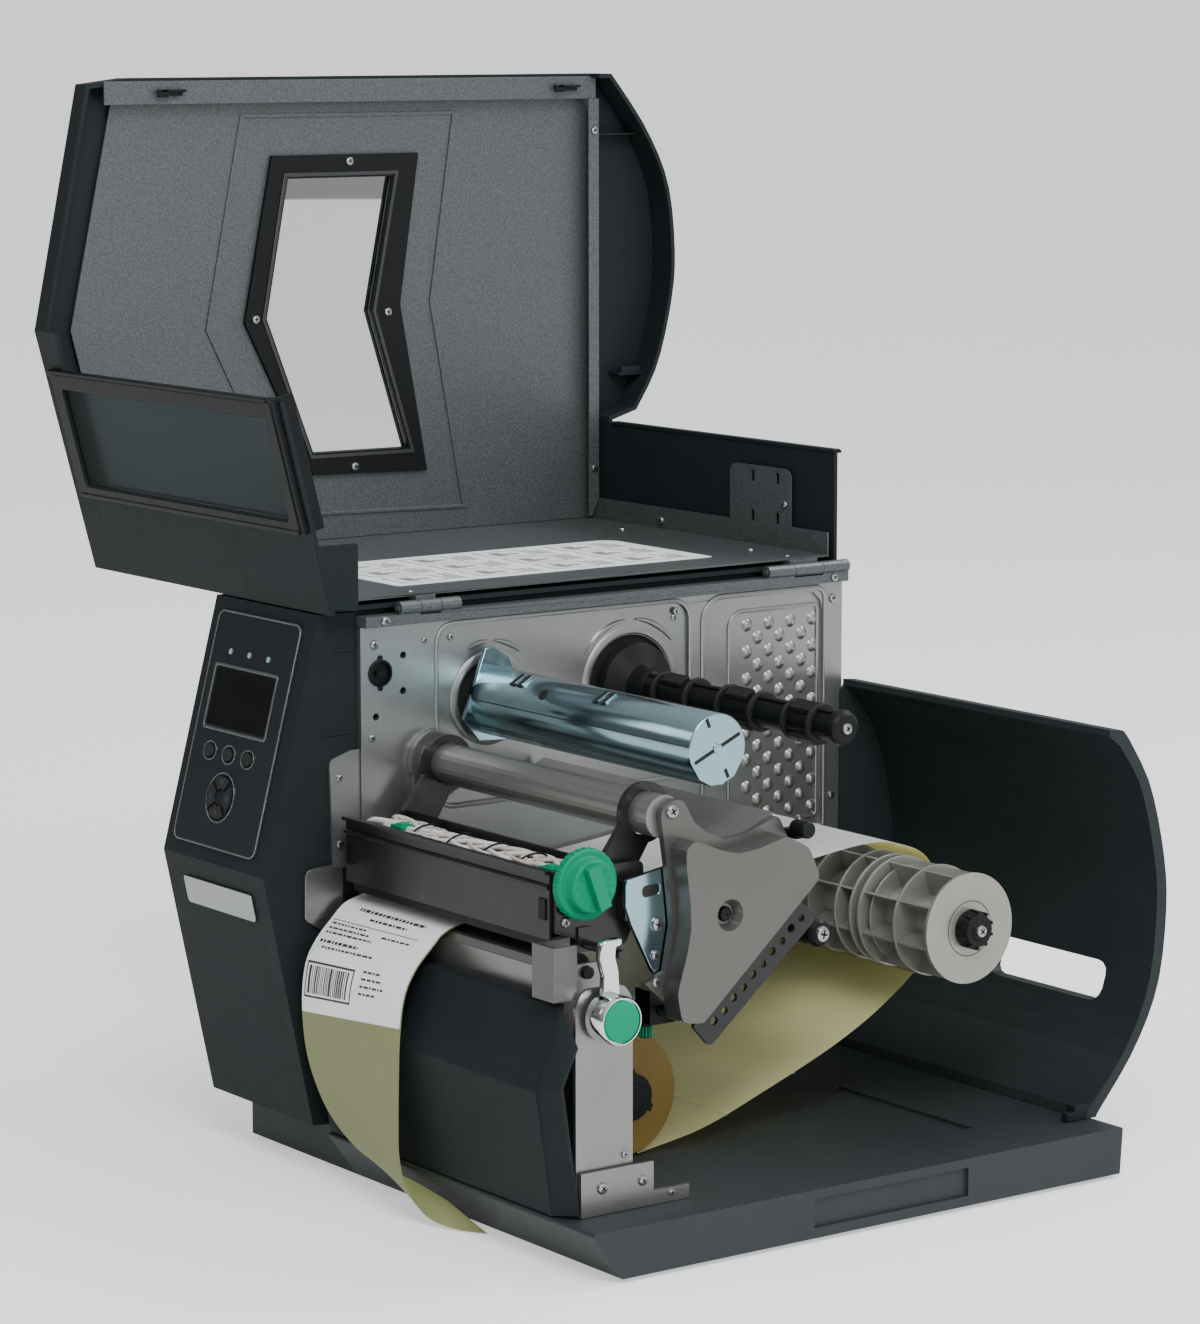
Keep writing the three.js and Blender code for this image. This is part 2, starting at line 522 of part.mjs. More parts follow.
function makeHead() {
  const { left, right, front, back, bottom, top } = HEAD;
  const outer = block(left, right, front, back, bottom, top);
  const inner = block(left - 1, right + 1, front + 1.6, back - 1.6, bottom + 1.6, top + 1);
  const lip = block(left, right, front - 3, front + 1, top - 2, top);
  const bead = rod(left, right, front - 0.3, top - 9, 1.6, 12);
  const arm = (x0) => {
    const reach = sideSlab(
      [[back - 4, bottom + 1], [back, bottom + 1], [-118, TUBE.z - 14], [-112, TUBE.z + 4], [-126, TUBE.z + 12], [back - 4, top]],
      x0,
      x0 + 4,
    );
    return join(reach, rod(x0, x0 + 4, TUBE.y, TUBE.z, 17.5, 32));
  };
  const arms = [left + 4, right - 6].map(arm);
  const bore = rod(0, 240, TUBE.y, TUBE.z, TUBE.radius + 0.6, 40);
  const channel = cut(join(cut(outer, inner), lip, bead, ...arms), bore);

  const strip = [[-186, bottom - 0.4], [-152, bottom - 0.4], [-152, 176], [-161, PRINT_LINE + 0.6],
    [-175, PRINT_LINE + 0.6], [-186, 174]];
  add("print_head", sideSlab(strip, left + 2, right - 4), BLACK);

  const route = [[10, -176, 199], [45, -166, 196], [80, -176, 200], [120, -163, 197], [160, -174, 200], [205, -165, 198]];
  const path = new THREE.CatmullRomCurve3(route.map((point) => new THREE.Vector3(...point)));
  const section = new THREE.Shape(ringOf(ellipse(0, 0, 3.2, 3.2, 8)));
  const cable = new THREE.ExtrudeGeometry(section, { steps: 26, extrudePath: path, bevelEnabled: false });
  add("head_wiring", cable, [0xd9c2c2, 0.6, 0]);

  const endPlate = [
    [-188, 184], [-158, 174, 4], [-148, 169, 4], [-140, 174, 4], [-128, 196, 6], [-128, 219, 4], [-188, 219, 3],
  ];
  const pin = rod(215, 257, -169.5, 176.5, 2.6, 16);
  const pinBracket = block(215, 221.5, -174, -165, 172, 186);
  const latchPlate = [
    [-147, 211, 3], [-116, 216, 3], [-110, 200, 4], [-108, 178, 6], [-113, 156, 6], [-121, 151, 4],
    [-128, 156, 4], [-143, 185, 6], [-147, 196],
  ];
  const flange = block(right, 228.5, -147, -145, 188, 210);
  const ends = [sideSlab(endPlate, right - 1, right + 4), pinBracket, pin, sideSlab(latchPlate, 227, 229.5), flange];
  add("head_channel", join(channel, ...ends), CAST_GREY);

  const disc = rod(221, 227.5, KNOB.y, KNOB.z, 20.5, 32);
  const notches = [];
  for (let k = 0; k < 16; k += 1) {
    const angle = (2 * Math.PI * (k + 0.5)) / 16;
    notches.push(rod(220, 228, KNOB.y + 21 * Math.cos(angle), KNOB.z + 21 * Math.sin(angle), 1.3, 4));
  }
  const boss = rod(227, 233.5, KNOB.y, KNOB.z, 16, 28);
  const grip = sideSlab([[-4, -15, 2], [4, -15, 2], [4, 15, 2], [-4, 15, 2]], 233, 239);
  const handle = grip.rotateX(0.35).translate(0, KNOB.y, KNOB.z);
  add("leveling_knob", join(cut(disc, ...notches), boss, handle), GREEN);
}

function makeLatch() {
  const { y, z } = LATCH;
  const outer = sideSlab(
    [[y - 18, 33], [y + 21, 33], [y + 21, z + 6, 4], [y + 16, z + 16, 8], [y - 14, z + 16, 8], [y - 18, z + 6, 4]],
    243,
    245.5,
  );
  const inner = block(226, 228.5, y - 13, y + 21, 33, 117);
  const web = block(226, 245.5, y + 18.5, y + 21, 33, 117);
  const axle = rod(220, 250, y, z, 5.4, 24);
  const sole = block(226, 249, y - 17, y + 33, BASE_TOP + 0.4, BASE_TOP + 3);
  const wing = block(246.6, 249, y - 17, y + 33, BASE_TOP + 0.4, 54);
  const tail = block(246.6, 249, y + 32, y + 58, BASE_TOP + 0.4, 37);
  const spacer = block(245, 247, y - 6, y + 12, 36, 50);
  const post = cut(join(outer, inner, web), axle, block(220, 246, y - 30, y + 30, 25, 31));
  const riser = block(226, 245.5, y + 18.5, y + 21, BASE_TOP + 0.4, 36);
  add("latch_post", join(post, riser, sole, wing, tail, spacer), WALL_GREY);

  const housing = frontSlab([[222, 151.5], [242.4, 151.5], [242.4, 182], [222, 182]], -206, -203.5);
  const side = block(222, 224.5, -206, -182, 151.5, 182);
  const hook = block(240, 242.4, -206, -190, 151.5, 182);
  add("latch_guard", join(housing, side, hook), WALL_GREY);

  const arm = sideSlab(
    [[y - 5, z], [y + 5, z], [y + 4, z + 26], [y + 2.6, z + 33], [y + 3, z + 39.5], [y + 6.6, z + 41], [y + 6.6, z + 44.5, 1.5],
      [y - 7, z + 44.5, 2], [y - 8, z + 38, 2], [y - 4, z + 28]],
    250,
    255,
  );
  const ring = turned([[234, 0], [234, 4.8], [247, 4.8], [247, 9], [249, 14.5], [262.5, 14.5], [264.5, 13], [262.8, 12.4],
    [262.8, 0]], y, z, 28);
  add("latch_lever", join(ring, arm), CHROME);
  add("latch_button", turned([[263.2, 0], [263.2, 11.9], [265, 11], [265.6, 0]], y, z, 28), GREEN);
}

// ---- ribbon and media spindles ------------------------------------------------------------
function makeHubs() {
  const { y, z, radius, end } = TAKE_UP;
  const body = turned([[-18, 0], [-18, 6], [2, 6], [2, radius], [end, radius], [end, 0]], y, z, 28);
  const keel = sideSlab([[-19, -3], [19, -3], [12, -19], [4, -22], [-4, -22], [-12, -19]], 4, end).translate(0, y, z);
  const wings = sideSlab([[-8, 33], [8, 26], [26, -18], [20, -27], [-14, -24], [-26, -10]], 5, 7.4).translate(0, y, z);
  const endSlots = [0.3, 1.87].map((angle) =>
    block(end - 3, end + 1, -1, 1, -radius - 1, radius + 1).rotateX(angle).translate(0, y, z));
  const sideHole = rodAlongZ(58, y - 4, z + 12, z + 22, 5, 14);
  const slots = [44, 112].map((x) => block(x, x + 14, y - 2, y + 1, z + 12, z + 22));
  add("ribbon_take_up_hub", cut(join(body, keel, wings), ...endSlots, sideHole, ...slots), ZINC);

  const supply = [
    [-18, 0], [-18, 6], [1, 6], [1, 26], [4, 27], [9, 24], [16, 12], [22, SUPPLY.radius], [204, SUPPLY.radius],
    [205, 10.5], [209, 10.5], [SUPPLY.end, 8], [SUPPLY.end, 0],
  ];
  const spindle = turned(supply, SUPPLY.y, SUPPLY.z, 24);
  const bumps = [];
  for (let group = 0; group < 3; group += 1) {
    for (let k = 0; k < 3; k += 1) {
      const angle = (2 * Math.PI * k) / 3 + 0.5;
      const bump = block(46 + group * 52, 74 + group * 52, -3, 3, SUPPLY.radius - 1, SUPPLY.radius + 2.6);
      bumps.push(bump.rotateX(angle).translate(0, SUPPLY.y, SUPPLY.z));
    }
  }
  add("ribbon_supply_hub", join(spindle, ...bumps), BLACK);

  const bearings = [TAKE_UP, SUPPLY].map((hub) => rod(-17, -5, hub.y, hub.z, 6 + GAP, 24));
  const plateOutline = [
    [y - 28, z - 26, 10], [SUPPLY.y + 38, SUPPLY.z - 26, 10], [SUPPLY.y + 38, SUPPLY.z + 26, 10], [y - 28, z + 26, 10],
  ];
  add("spindle_bearing_plate", cut(sideSlab(plateOutline, -12, -5.4), ...bearings), ZINC);
}

function makeMediaHub() {
  const { y, z, radius, end } = MEDIA_HUB;
  const drum = (x0, x1, discs) => {
    const core = rod(x0, x1, y, z, 20, 20);
    const rings = discs.map((x) => rod(x, x + 2.5, y, z, radius, 24));
    const ribs = Array.from({ length: 6 }, (_, k) => {
      const angle = (Math.PI * k) / 3 + 0.25;
      return block(x0, x1, -1.2, 1.2, 15, radius - 0.6).rotateX(angle).translate(0, y, z);
    });
    return join(core, ...rings, ...ribs);
  };
  const shaft = rod(-16, 3, y, z, 7.5, 24);
  add("media_hub", join(shaft, drum(2.4, 160, [2.4, 54, 106, 157.5])), WALL_GREY);
  const outer = join(drum(166, end, [166, end - 2.5]), rod(160.4, 167, y, z, 12, 24));
  const cap = turned([[end - 1, 0], [end - 1, 11], [end + 8, 11.5], [end + 12, 9], [end + 12.5, 0]], y, z, 20);
  add("media_hub_lock", join(outer, cap), WALL_GREY);
}

function makeRewinder() {
  const { y, z, core, roll } = REWIND;
  const spindle = [[-16, 0], [-16, 6], [1.2, 6], [1.2, 30], [3.2, 30], [3.2, core], [168, core], [168, 0]];
  add("rewind_spindle", turned(spindle, y, z, 20), BLACK);
  add("label_roll", sleeve(WEB.left, WEB.right, y, z, core + GAP, roll, 32), [0xc39a3a, 0.5, 0]);
}

// ---- media path ---------------------------------------------------------------------------
function makeWeb() {
  const start = -1.3;
  const leave = REWIND.roll + GAP + WEB.thick;
  const path = smooth(
    [
      [REWIND.y + leave * Math.cos(start), REWIND.z + leave * Math.sin(start)],
      [-40, 38], [5, 53], [60, 74], [100, 95], [131, 120], [143, 152], [132, 180], [108, 192],
      [83, 194.5], [44, 190.5], [0, 184], [-60, 178], [-120, 173], [-152, PRINT_LINE + 0.3], [-168, PRINT_LINE],
      [-174, PRINT_LINE],
    ],
    46,
  );
  add("media_web", sideSlab(ribbon(path, WEB.thick), WEB.left, WEB.right), [0xe6e4d2, 0.6, 0]);
}

// The printed strip hangs in front and its tail curls under towards the right.
const STRIP_LEFT = [
  [4, -176, 169.9], [4, -188.6, 166], [4, -198, 158], [4, -209.5, 146], [4, -217, 132], [4, -219.5, 108],
  [6, -218, 80], [14, -214.5, 56], [30, -213, 40], [52, -211, 27], [74, -208, 17], [98, -202, 7], [122, -194, 1],
];
const STRIP_RIGHT = [
  [111, -176, 169.9], [111, -188.6, 166], [111, -198, 158], [111, -209.5, 146], [111, -217, 131], [111, -220.5, 108],
  [111, -221.5, 84], [111, -222, 60], [111, -221.5, 38], [113, -218, 20], [121, -210, 4], [138, -202, -1],
  [156, -191, -1.6],
];

function makeStrip() {
  const along = 30;
  const across = 4;
  const curve = (points) => new THREE.CatmullRomCurve3(points.map((point) => new THREE.Vector3(...point)));
  const leftEdge = curve(STRIP_LEFT);
  const rightEdge = curve(STRIP_RIGHT);
  const at = (u, v) => leftEdge.getPoint(u).lerp(rightEdge.getPoint(u), v);
  const row = across + 1;
  const points = [];
  [0.5, -0.5].forEach((side) => {
    for (let i = 0; i <= along; i += 1) {
      for (let j = 0; j <= across; j += 1) {
        const u = i / along;
        const v = j / across;
        const step = 0.004;
        const alongU = at(Math.min(u + step, 1), v).sub(at(Math.max(u - step, 0), v));
        const acrossV = at(u, 1).sub(at(u, 0));
        const normal = alongU.cross(acrossV).normalize();
        points.push(...at(u, v).addScaledVector(normal, side * WEB.thick).toArray());
      }
    }
  });
  const layer = (along + 1) * row;
  const index = [];
  const quad = (a, b, c, d) => index.push(a, b, c, a, c, d);
  for (let i = 0; i < along; i += 1) {
    for (let j = 0; j < across; j += 1) {
      const a = i * row + j;
      quad(a, a + row, a + row + 1, a + 1);
      quad(layer + a, layer + a + 1, layer + a + row + 1, layer + a + row);
    }
    const left = i * row;
    const right = left + across;
    quad(left, layer + left, layer + left + row, left + row);
    quad(right, right + row, layer + right + row, layer + right);
  }
  for (let j = 0; j < across; j += 1) {
    const last = along * row + j;
    quad(j, j + 1, layer + j + 1, layer + j);
    quad(last, layer + last, layer + last + 1, last + 1);
  }
  const geometry = new THREE.BufferGeometry();
  geometry.setAttribute("position", new THREE.Float32BufferAttribute(points, 3));
  geometry.setIndex(index);
  add("label_strip", toGeometry(toSolid(geometry)), [0xeef0ee, 0.6, 0]);
}

// ---- fixed covers on the media side -------------------------------------------------------
function makeFrontFascia() {
  const foot = BASE_TOP + 0.8;
  const outline = [[-194, 148], [-198, 147, 2], [-214, 101, 3], [-203, foot], [-200, foot], [-210.8, 101, 3], [-194.6, 146]];
  const cheek = sideSlab([[-196, 146], [-214, 101, 3], [-203, foot], [-195.5, foot], [-195.5, 146]], 233, 236);
  const upperBevel = bridge([[-198, 147], [-213.4, 102]], 235, [[-197, 126], [-207, 105]], 250, 2.2);
  const lowerBevel = bridge([[-213.4, 102], [-203, foot]], 235, [[-207, 105], [-196, foot + 2]], 250, 2.2);
  add("front_fascia", join(sideSlab(outline, 8, 236), cheek, upperBevel, lowerBevel), CHARCOAL);
}

const REAR_CURVE = [[190, 31], [219, 66], [238, 104], [244, 150], [241, 185], [229, 228], [211, 258]];
const REAR_CURVE_STEPS = 20;

function makeRearCover() {
  const wall = 8;
  const outer = smooth(REAR_CURVE, REAR_CURVE_STEPS);
  const inner = smooth([[182, 34], ...REAR_CURVE.slice(1, -1).map(([y, z]) => [y - wall, z]), [203, 255]], REAR_CURVE_STEPS);
  const outline = [
    ...outer, [206, 264, 3], [195, 265], [195, 261], ...inner.reverse(), [180, BASE_TOP + 0.4], [189, BASE_TOP + 0.4],
  ];
  const slot = frontSlab([[112, 88, 8], [214, 88, 8], [214, 112, 8], [112, 112, 8]], 200, 250);
  const middle = smooth([[186, 33], ...REAR_CURVE.slice(1, -1).map(([y, z]) => [y - wall / 2, z]), [206, 258]], REAR_CURVE_STEPS);
  const endWall = sideSlab([...middle, [196, 263], [192, 258], [192, 40], [184, 31]], 0.5, 2.5);
  add("rear_cover", join(cut(sideSlab(outline, 0.5, REAR_COVER_RIGHT), slot), endWall), CHARCOAL);
}

// ---- hinged cover, drawn closed -----------------------------------------------------------
const COVER_CURVE = smooth([[190, COVER_BOTTOM], ...REAR_CURVE.slice(1)], REAR_CURVE_STEPS);
const COVER_OUTLINE = [
  [-200, COVER_TOP], [-240.5, 186], [-208, 33], [-178, COVER_BOTTOM], ...COVER_CURVE,
  [COVER_REAR, 264], [COVER_REAR, COVER_TOP],
];
const WINDOW_OUTER = [[-69.8, 80], [43.4, 80], [28.1, 179], [48.7, 291], [-40.5, 289], [-91.7, 187]];
const WINDOW_HOLE = [[-58, 95], [23, 95], [5, 183], [33.8, 275], [-40.7, 274.5], [-75.3, 185]];
const VISOR = { left: 4, right: 264, low: 27, high: 108 };

function makeCover() {
  const side = sideSlab(COVER_OUTLINE, COVER_SIDE - SKIN, COVER_SIDE);
  const rim = cut(
    sideSlab(COVER_OUTLINE, REAR_COVER_RIGHT + 1, COVER_SIDE - 1),
    sideSlab(inset(COVER_OUTLINE, SKIN), REAR_COVER_RIGHT, COVER_SIDE),
    block(250, 264, -250, 180, COVER_BOTTOM - 1, 186),
  );
  const top = block(COVER_START, COVER_SIDE - 1, -199, COVER_REAR - 0.5, COVER_TOP - 2.5, COVER_TOP);
  const front = sideSlab([[-200, COVER_TOP], [-233.8, 211], [-230.6, 211], [-197, COVER_TOP]], FASCIA_RIGHT + 1.5, COVER_SIDE - 1);
  const skirt = block(COVER_START, COVER_SIDE - 1, COVER_REAR - 2.6, COVER_REAR, 266, COVER_TOP - 0.5);
  const window = sideSlab(WINDOW_HOLE, COVER_SIDE - 6, COVER_SIDE + 1);
  const { left, right, low, high } = VISOR;
  const glass = rectangle(left + 9, right - 11, low + 10, high - 8);
  const frame = join(frontSlab(rectangle(left, right, low, high, 2), -3.6, 1), block(left - 2, left + 6, -3.6, 1, low - 2, low + 10));
  const opening = frontSlab(glass, -5, 5);
  const shell = cut(join(side, rim, top, front, skirt, ontoUpperFace(frame)), ontoUpperFace(opening), window);
  addToCover("cover_shell", shell, CHARCOAL);
  addToCover("visor_pane", ontoUpperFace(frontSlab(rectangle(left + 9.4, right - 11.4, low + 10.4, high - 8.4), -2.6, -0.4)), [0x4c5759, 0.15, 0]);

  const panel = sideSlab([[-180, 332], [-218, 187], [-185, 38], [186, 38], [186, 332]], 271.5, 271.5 + SHEET);
  const flange = block(264.5, 272, 186 - SHEET, 186, 54, 332);
  const roof = block(12, 271.5 + SHEET, -190, 186, 333.6 - SHEET, 333.6);
  const rearFlange = block(12, 271.5 + SHEET, 186 - SHEET, 186, 318, 333.6);
  const bottomFlange = block(266, 272, -180, 186, 38, 38 + SHEET);
  const linerHole = sideSlab(WINDOW_HOLE, 270, 274);
  const slots = [[62, 288], [88, 288], [62, 314], [88, 314]].map(([x, z]) => rectangle(x, x + 3.5, z - 4, z + 4, 1.5));
  const strut = frontSlab([[50, 281, 6], [114, 281, 6], [114, 319], [50, 319]], 186 - SHEET, 186, slots);
  const leaves = MOVING_KNUCKLES.map(([y0, y1]) => {
    const barrel = rodAlongY(HINGE_X, y0, y1, HINGE_Z, KNUCKLE_RADIUS, 12);
    const web = block(6.9, 9.1, y0, y1, 334.6, HINGE_Z);
    const leaf = block(6.9, 36, y0, y1, 333, 335.8);
    return cut(join(barrel, web, leaf), rodAlongY(HINGE_X, y0 - 1, y1 + 1, HINGE_Z, PIN_RADIUS + GAP, 8));
  });
  const liner = cut(join(panel, flange, roof, rearFlange, bottomFlange, strut), linerHole);
  addToCover("cover_liner", join(liner, ...leaves), HAMMERED);

  const frameRing = cut(sideSlab(WINDOW_OUTER, 268.6, 271.1), sideSlab(WINDOW_HOLE, 268, 272));
  addToCover("window_frame", frameRing, BLACK);
  addToCover("window_pane", sideSlab(inset(WINDOW_HOLE, -4), 273.1, 274.3), [0xe8eeee, 0.05, 0]);
}

makeBase();
makeWall();
makeFascia();
makeElectronics();
makeDrive();
makeFrame();
makeHead();
makeLatch();
makeHubs();
makeMediaHub();
makeRewinder();
makeWeb();
makeStrip();
makeFrontFascia();
makeRearCover();
makeCover();

// The origin is the middle of the bottom of the whole object's box, with the cover open.
const extent = new THREE.Box3().setFromObject(printer);
const middle = extent.getCenter(new THREE.Vector3());
printer.position.set(-middle.x, -middle.y, -extent.min.z);

export default printer;
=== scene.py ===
"""Looks for the label printer: finer pieces and materials round its CAD model, lights and a camera.

Positions are written in the drawing's millimetres: x = 0 is the media side of the centre wall, y = 0
half way back along the base and z = 0 the base's underside.
"""
import math
import random

import bmesh
import bpy
from mathutils import Matrix, Vector


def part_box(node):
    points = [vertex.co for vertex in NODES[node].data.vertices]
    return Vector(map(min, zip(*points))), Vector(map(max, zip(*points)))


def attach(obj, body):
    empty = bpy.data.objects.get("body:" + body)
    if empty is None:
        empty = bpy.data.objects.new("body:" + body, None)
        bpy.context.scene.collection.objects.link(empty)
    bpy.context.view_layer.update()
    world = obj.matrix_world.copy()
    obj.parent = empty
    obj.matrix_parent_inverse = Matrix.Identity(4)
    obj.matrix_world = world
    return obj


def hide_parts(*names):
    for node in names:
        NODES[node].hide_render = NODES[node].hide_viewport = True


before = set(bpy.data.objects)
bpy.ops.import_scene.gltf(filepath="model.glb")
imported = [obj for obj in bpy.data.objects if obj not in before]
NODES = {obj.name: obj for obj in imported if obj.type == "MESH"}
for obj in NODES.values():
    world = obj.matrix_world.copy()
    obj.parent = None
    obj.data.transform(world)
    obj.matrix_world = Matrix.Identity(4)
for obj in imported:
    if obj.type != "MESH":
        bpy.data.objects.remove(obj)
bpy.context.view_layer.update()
RANDOM = random.Random(11)

FOOT = 2.5
WALL_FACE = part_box("center_wall")[1].x
BASE_MIDDLE = sum(corner.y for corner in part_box("base_plate")) / 2
TO_ROW = Matrix.Translation((WALL_FACE, BASE_MIDDLE, FOOT / 1000)) @ Matrix.Scale(0.001, 4)
HINGE = (4, 339)
OPENED = Matrix.Translation((2 * HINGE[0], 0, 2 * HINGE[1])) @ Matrix.Diagonal((-1, 1, -1, 1))
TOP_Y, TOP_Z = -200.2, 338.2
NOSE_Y, NOSE_Z = -240.5, 185
BOTTOM_Y, BOTTOM_Z = -207.7, 30.8
TILT = math.atan2(NOSE_Y - TOP_Y, TOP_Z - NOSE_Z)
ON_FACE = Matrix.Translation((0, NOSE_Y, NOSE_Z)) @ Matrix.Rotation(TILT, 4, "X")
TILT_BELOW = math.atan2(BOTTOM_Y - NOSE_Y, NOSE_Z - BOTTOM_Z)
ON_LOWER_FACE = Matrix.Translation((0, NOSE_Y, NOSE_Z)) @ Matrix.Rotation(TILT_BELOW, 4, "X")
SIDEWAYS = Matrix(((0, 0, 1, 0), (1, 0, 0, 0), (0, 1, 0, 0), (0, 0, 0, 1)))  # (u, v, w) to (y, z, x)
FACING_FRONT = Matrix(((1, 0, 0, 0), (0, 0, -1, 0), (0, 1, 0, 0), (0, 0, 0, 1)))  # (u, v, w) to (x, z, -y)

# The lines along x that parts turn about, as (y, z).
TAKE_UP = (-79.8, 278.2)
SUPPLY = (26, 277)
MEDIA = (105, 152)
ROLL = (-97, 66.5)
KNOB = (-171.5, 211)
LATCH = (-175.3, 141)
# The ways a screw's head can face.
RIGHT, LEFT, BACK, FRONT, UP, DOWN = (1, 0, 0), (-1, 0, 0), (0, 1, 0), (0, -1, 0), (0, 0, 1), (0, 0, -1)


# ---- materials ----------------------------------------------------------------------------
def node_tree(name):
    material = bpy.data.materials.new(name)
    material.use_nodes = True
    tree = material.node_tree
    return material, tree, tree.nodes["Principled BSDF"]


def feed(tree, node, **values):
    """Gives a node's inputs plain values, or links them to the outputs of other nodes."""
    for name, value in values.items():
        socket = node.inputs[name.replace("_", " ")]
        if isinstance(value, bpy.types.NodeSocket):
            tree.links.new(value, socket)
        else:
            socket.default_value = value
    return node


def new_node(tree, kind, **values):
    return feed(tree, tree.nodes.new("ShaderNode" + kind), **values)


def noise(tree, size_mm, detail=3.0, stretch=(1, 1, 1)):
    where = new_node(tree, "TexCoord")
    mapping = new_node(tree, "Mapping", Scale=stretch, Vector=where.outputs["Object"])
    place = mapping.outputs["Vector"]
    texture = new_node(tree, "TexNoise", Scale=1000 / size_mm, Detail=detail, Vector=place)
    return texture.outputs["Fac"]


def cells(tree, size_mm):
    where = new_node(tree, "TexCoord")
    texture = new_node(tree, "TexVoronoi")
    texture.feature = "SMOOTH_F1"
    feed(tree, texture, Scale=1000 / size_mm, Smoothness=0.6, Vector=where.outputs["Object"])
    return texture.outputs["Distance"]


def spread(tree, value, low, high):
    return new_node(tree, "MapRange", To_Min=low, To_Max=high, Value=value).outputs["Result"]


MIX_FIRST, MIX_SECOND, MIX_RESULT = 6, 7, 2  # a mix node's colour sockets


def mix(tree, factor, first, second):
    node = new_node(tree, "Mix")
    node.data_type = "RGBA"
    feed(tree, node, Factor=factor)
    node.inputs[MIX_FIRST].default_value = (*first, 1)
    node.inputs[MIX_SECOND].default_value = (*second, 1)
    return node.outputs[MIX_RESULT]


def bump(tree, shader, height, depth_mm, previous=None):
    node = new_node(tree, "Bump", Strength=1, Distance=depth_mm / 1000, Height=height)
    if previous:
        feed(tree, node, Normal=previous)
    feed(tree, shader, Normal=node.outputs["Normal"])
    return node.outputs["Normal"]


def scaled(color, factor):
    return tuple(min(1, channel * factor) for channel in color)


def surface(name, color, rough, metal=0.0, grain=0.5, depth=0.02, blotch=0.18, gloss=0.5, stretch=(1, 1, 1)):
    """Even colour with soft blotches, a fine grain in its relief and a broken-up gloss."""
    material, tree, shader = node_tree(name)
    blotches = mix(tree, noise(tree, 45, 4), scaled(color, 1 - blotch), scaled(color, 1 + blotch))
    streaks = spread(tree, noise(tree, 9, 5, stretch), rough - 0.08, rough + 0.08)
    feed(tree, shader, Base_Color=blotches, Roughness=streaks, Metallic=metal, Specular_IOR_Level=gloss)
    bump(tree, shader, noise(tree, grain, 2, stretch), depth)
    return material


def hammered(name, color, rough, metal, size, depth):
    """Hammer-finish paint: small rounded dimples, darker in their rims."""
    material, tree, shader = node_tree(name)
    pattern = cells(tree, size)
    rims = mix(tree, spread(tree, pattern, 0.0, 1.6), scaled(color, 1.2), scaled(color, 0.72))
    streaks = spread(tree, noise(tree, 14, 4), rough - 0.07, rough + 0.07)
    feed(tree, shader, Base_Color=rims, Roughness=streaks, Metallic=metal)
    first = bump(tree, shader, pattern, depth)
    bump(tree, shader, noise(tree, 1.1, 3), depth * 0.25, first)
    return material


def tinted(name, color, rough):
    """See-through plastic with faint smudges in its gloss."""
    material, tree, shader = node_tree(name)
    smudges = spread(tree, noise(tree, 25, 5), rough, rough + 0.08)
    feed(tree, shader, Base_Color=(*color, 1), Roughness=smudges, Transmission_Weight=1, IOR=1.08)
    return material


def wound(name, color, axis):
    """The end of a wound roll: fine rings about its axis."""
    material, tree, shader = node_tree(name)
    where = new_node(tree, "TexCoord").outputs["Object"]
    centre = TO_ROW @ Vector((0, *axis))
    shift = new_node(tree, "Mapping", Location=(0, -centre.y, -centre.z), Scale=(0, 1, 1), Vector=where)
    ring = new_node(tree, "TexWave", Scale=260, Distortion=0.6, Detail=2, Vector=shift.outputs["Vector"])
    ring.wave_type = "RINGS"
    ring.rings_direction = "X"
    lines = ring.outputs["Fac"]
    feed(tree, shader, Base_Color=mix(tree, lines, scaled(color, 0.6), color), Roughness=0.5)
    bump(tree, shader, lines, 0.12)
    return material


def glowing(name, color, strength):
    material, tree, shader = node_tree(name)
    speckled = mix(tree, noise(tree, 2), color, scaled(color, 0.8))
    feed(tree, shader, Base_Color=speckled, Roughness=0.3)
    feed(tree, shader, Emission_Color=(*color, 1), Emission_Strength=strength)
    return material


CHARCOAL = surface("charcoal", (0.0145, 0.0195, 0.0215), 0.5, grain=0.7, depth=0.03, gloss=0.1)
# A lighter copy of the charcoal for the rear cover: painted light on its shaded inside.
REAR_CHARCOAL_PAINTED_LIGHT = surface("rear_charcoal_painted_light", (0.021, 0.0275, 0.030), 0.48, grain=0.7, depth=0.03, gloss=0.14)
# A lighter copy of the charcoal for the base pan: painted light on its top and sides.
BASE_CHARCOAL_PAINTED_LIGHT = surface("base_charcoal_painted_light", (0.0245, 0.031, 0.0335), 0.5, grain=0.7, depth=0.03, gloss=0.3)
BLACK = surface("black", (0.005, 0.0062, 0.0072), 0.4, grain=0.9, depth=0.015, gloss=0.18)
DARK_PANEL = surface("dark_panel", (0.0135, 0.0165, 0.019), 0.36, grain=0.5, depth=0.02, gloss=0.2)
WALL = surface("wall_grey", (0.30, 0.312, 0.308), 0.32, 0.85, grain=1.2, depth=0.03, blotch=0.07)
SHEET = surface("sheet_grey", (0.26, 0.26, 0.253), 0.3, 0.9, grain=0.6, depth=0.015, stretch=(1, 1, 8))
DRUM = surface("drum_grey", (0.30, 0.295, 0.27), 0.32, 0.5, grain=0.9, depth=0.02, blotch=0.08)
CAST = surface("cast_grey", (0.25, 0.25, 0.24), 0.32, 0.75, grain=1.3, depth=0.06, blotch=0.1)
CASTING = surface("casting_grey", (0.128, 0.129, 0.122), 0.34, 0.72, grain=1.3, depth=0.06, blotch=0.1)
PERFORATED = surface("perforated_black", (0.022, 0.024, 0.024), 0.42, 0.3, grain=1.2, depth=0.05)
# The head channel's grey is darkened: a painted dark reflection of its surroundings.
CHANNEL_PAINTED_DARK = surface("channel_painted_dark_reflection", (0.047, 0.047, 0.045), 0.3, 0.8, grain=0.8, depth=0.015)
HAMMERED = hammered("hammered_grey", (0.096, 0.110, 0.114), 0.4, 0.3, 1.5, 0.13)
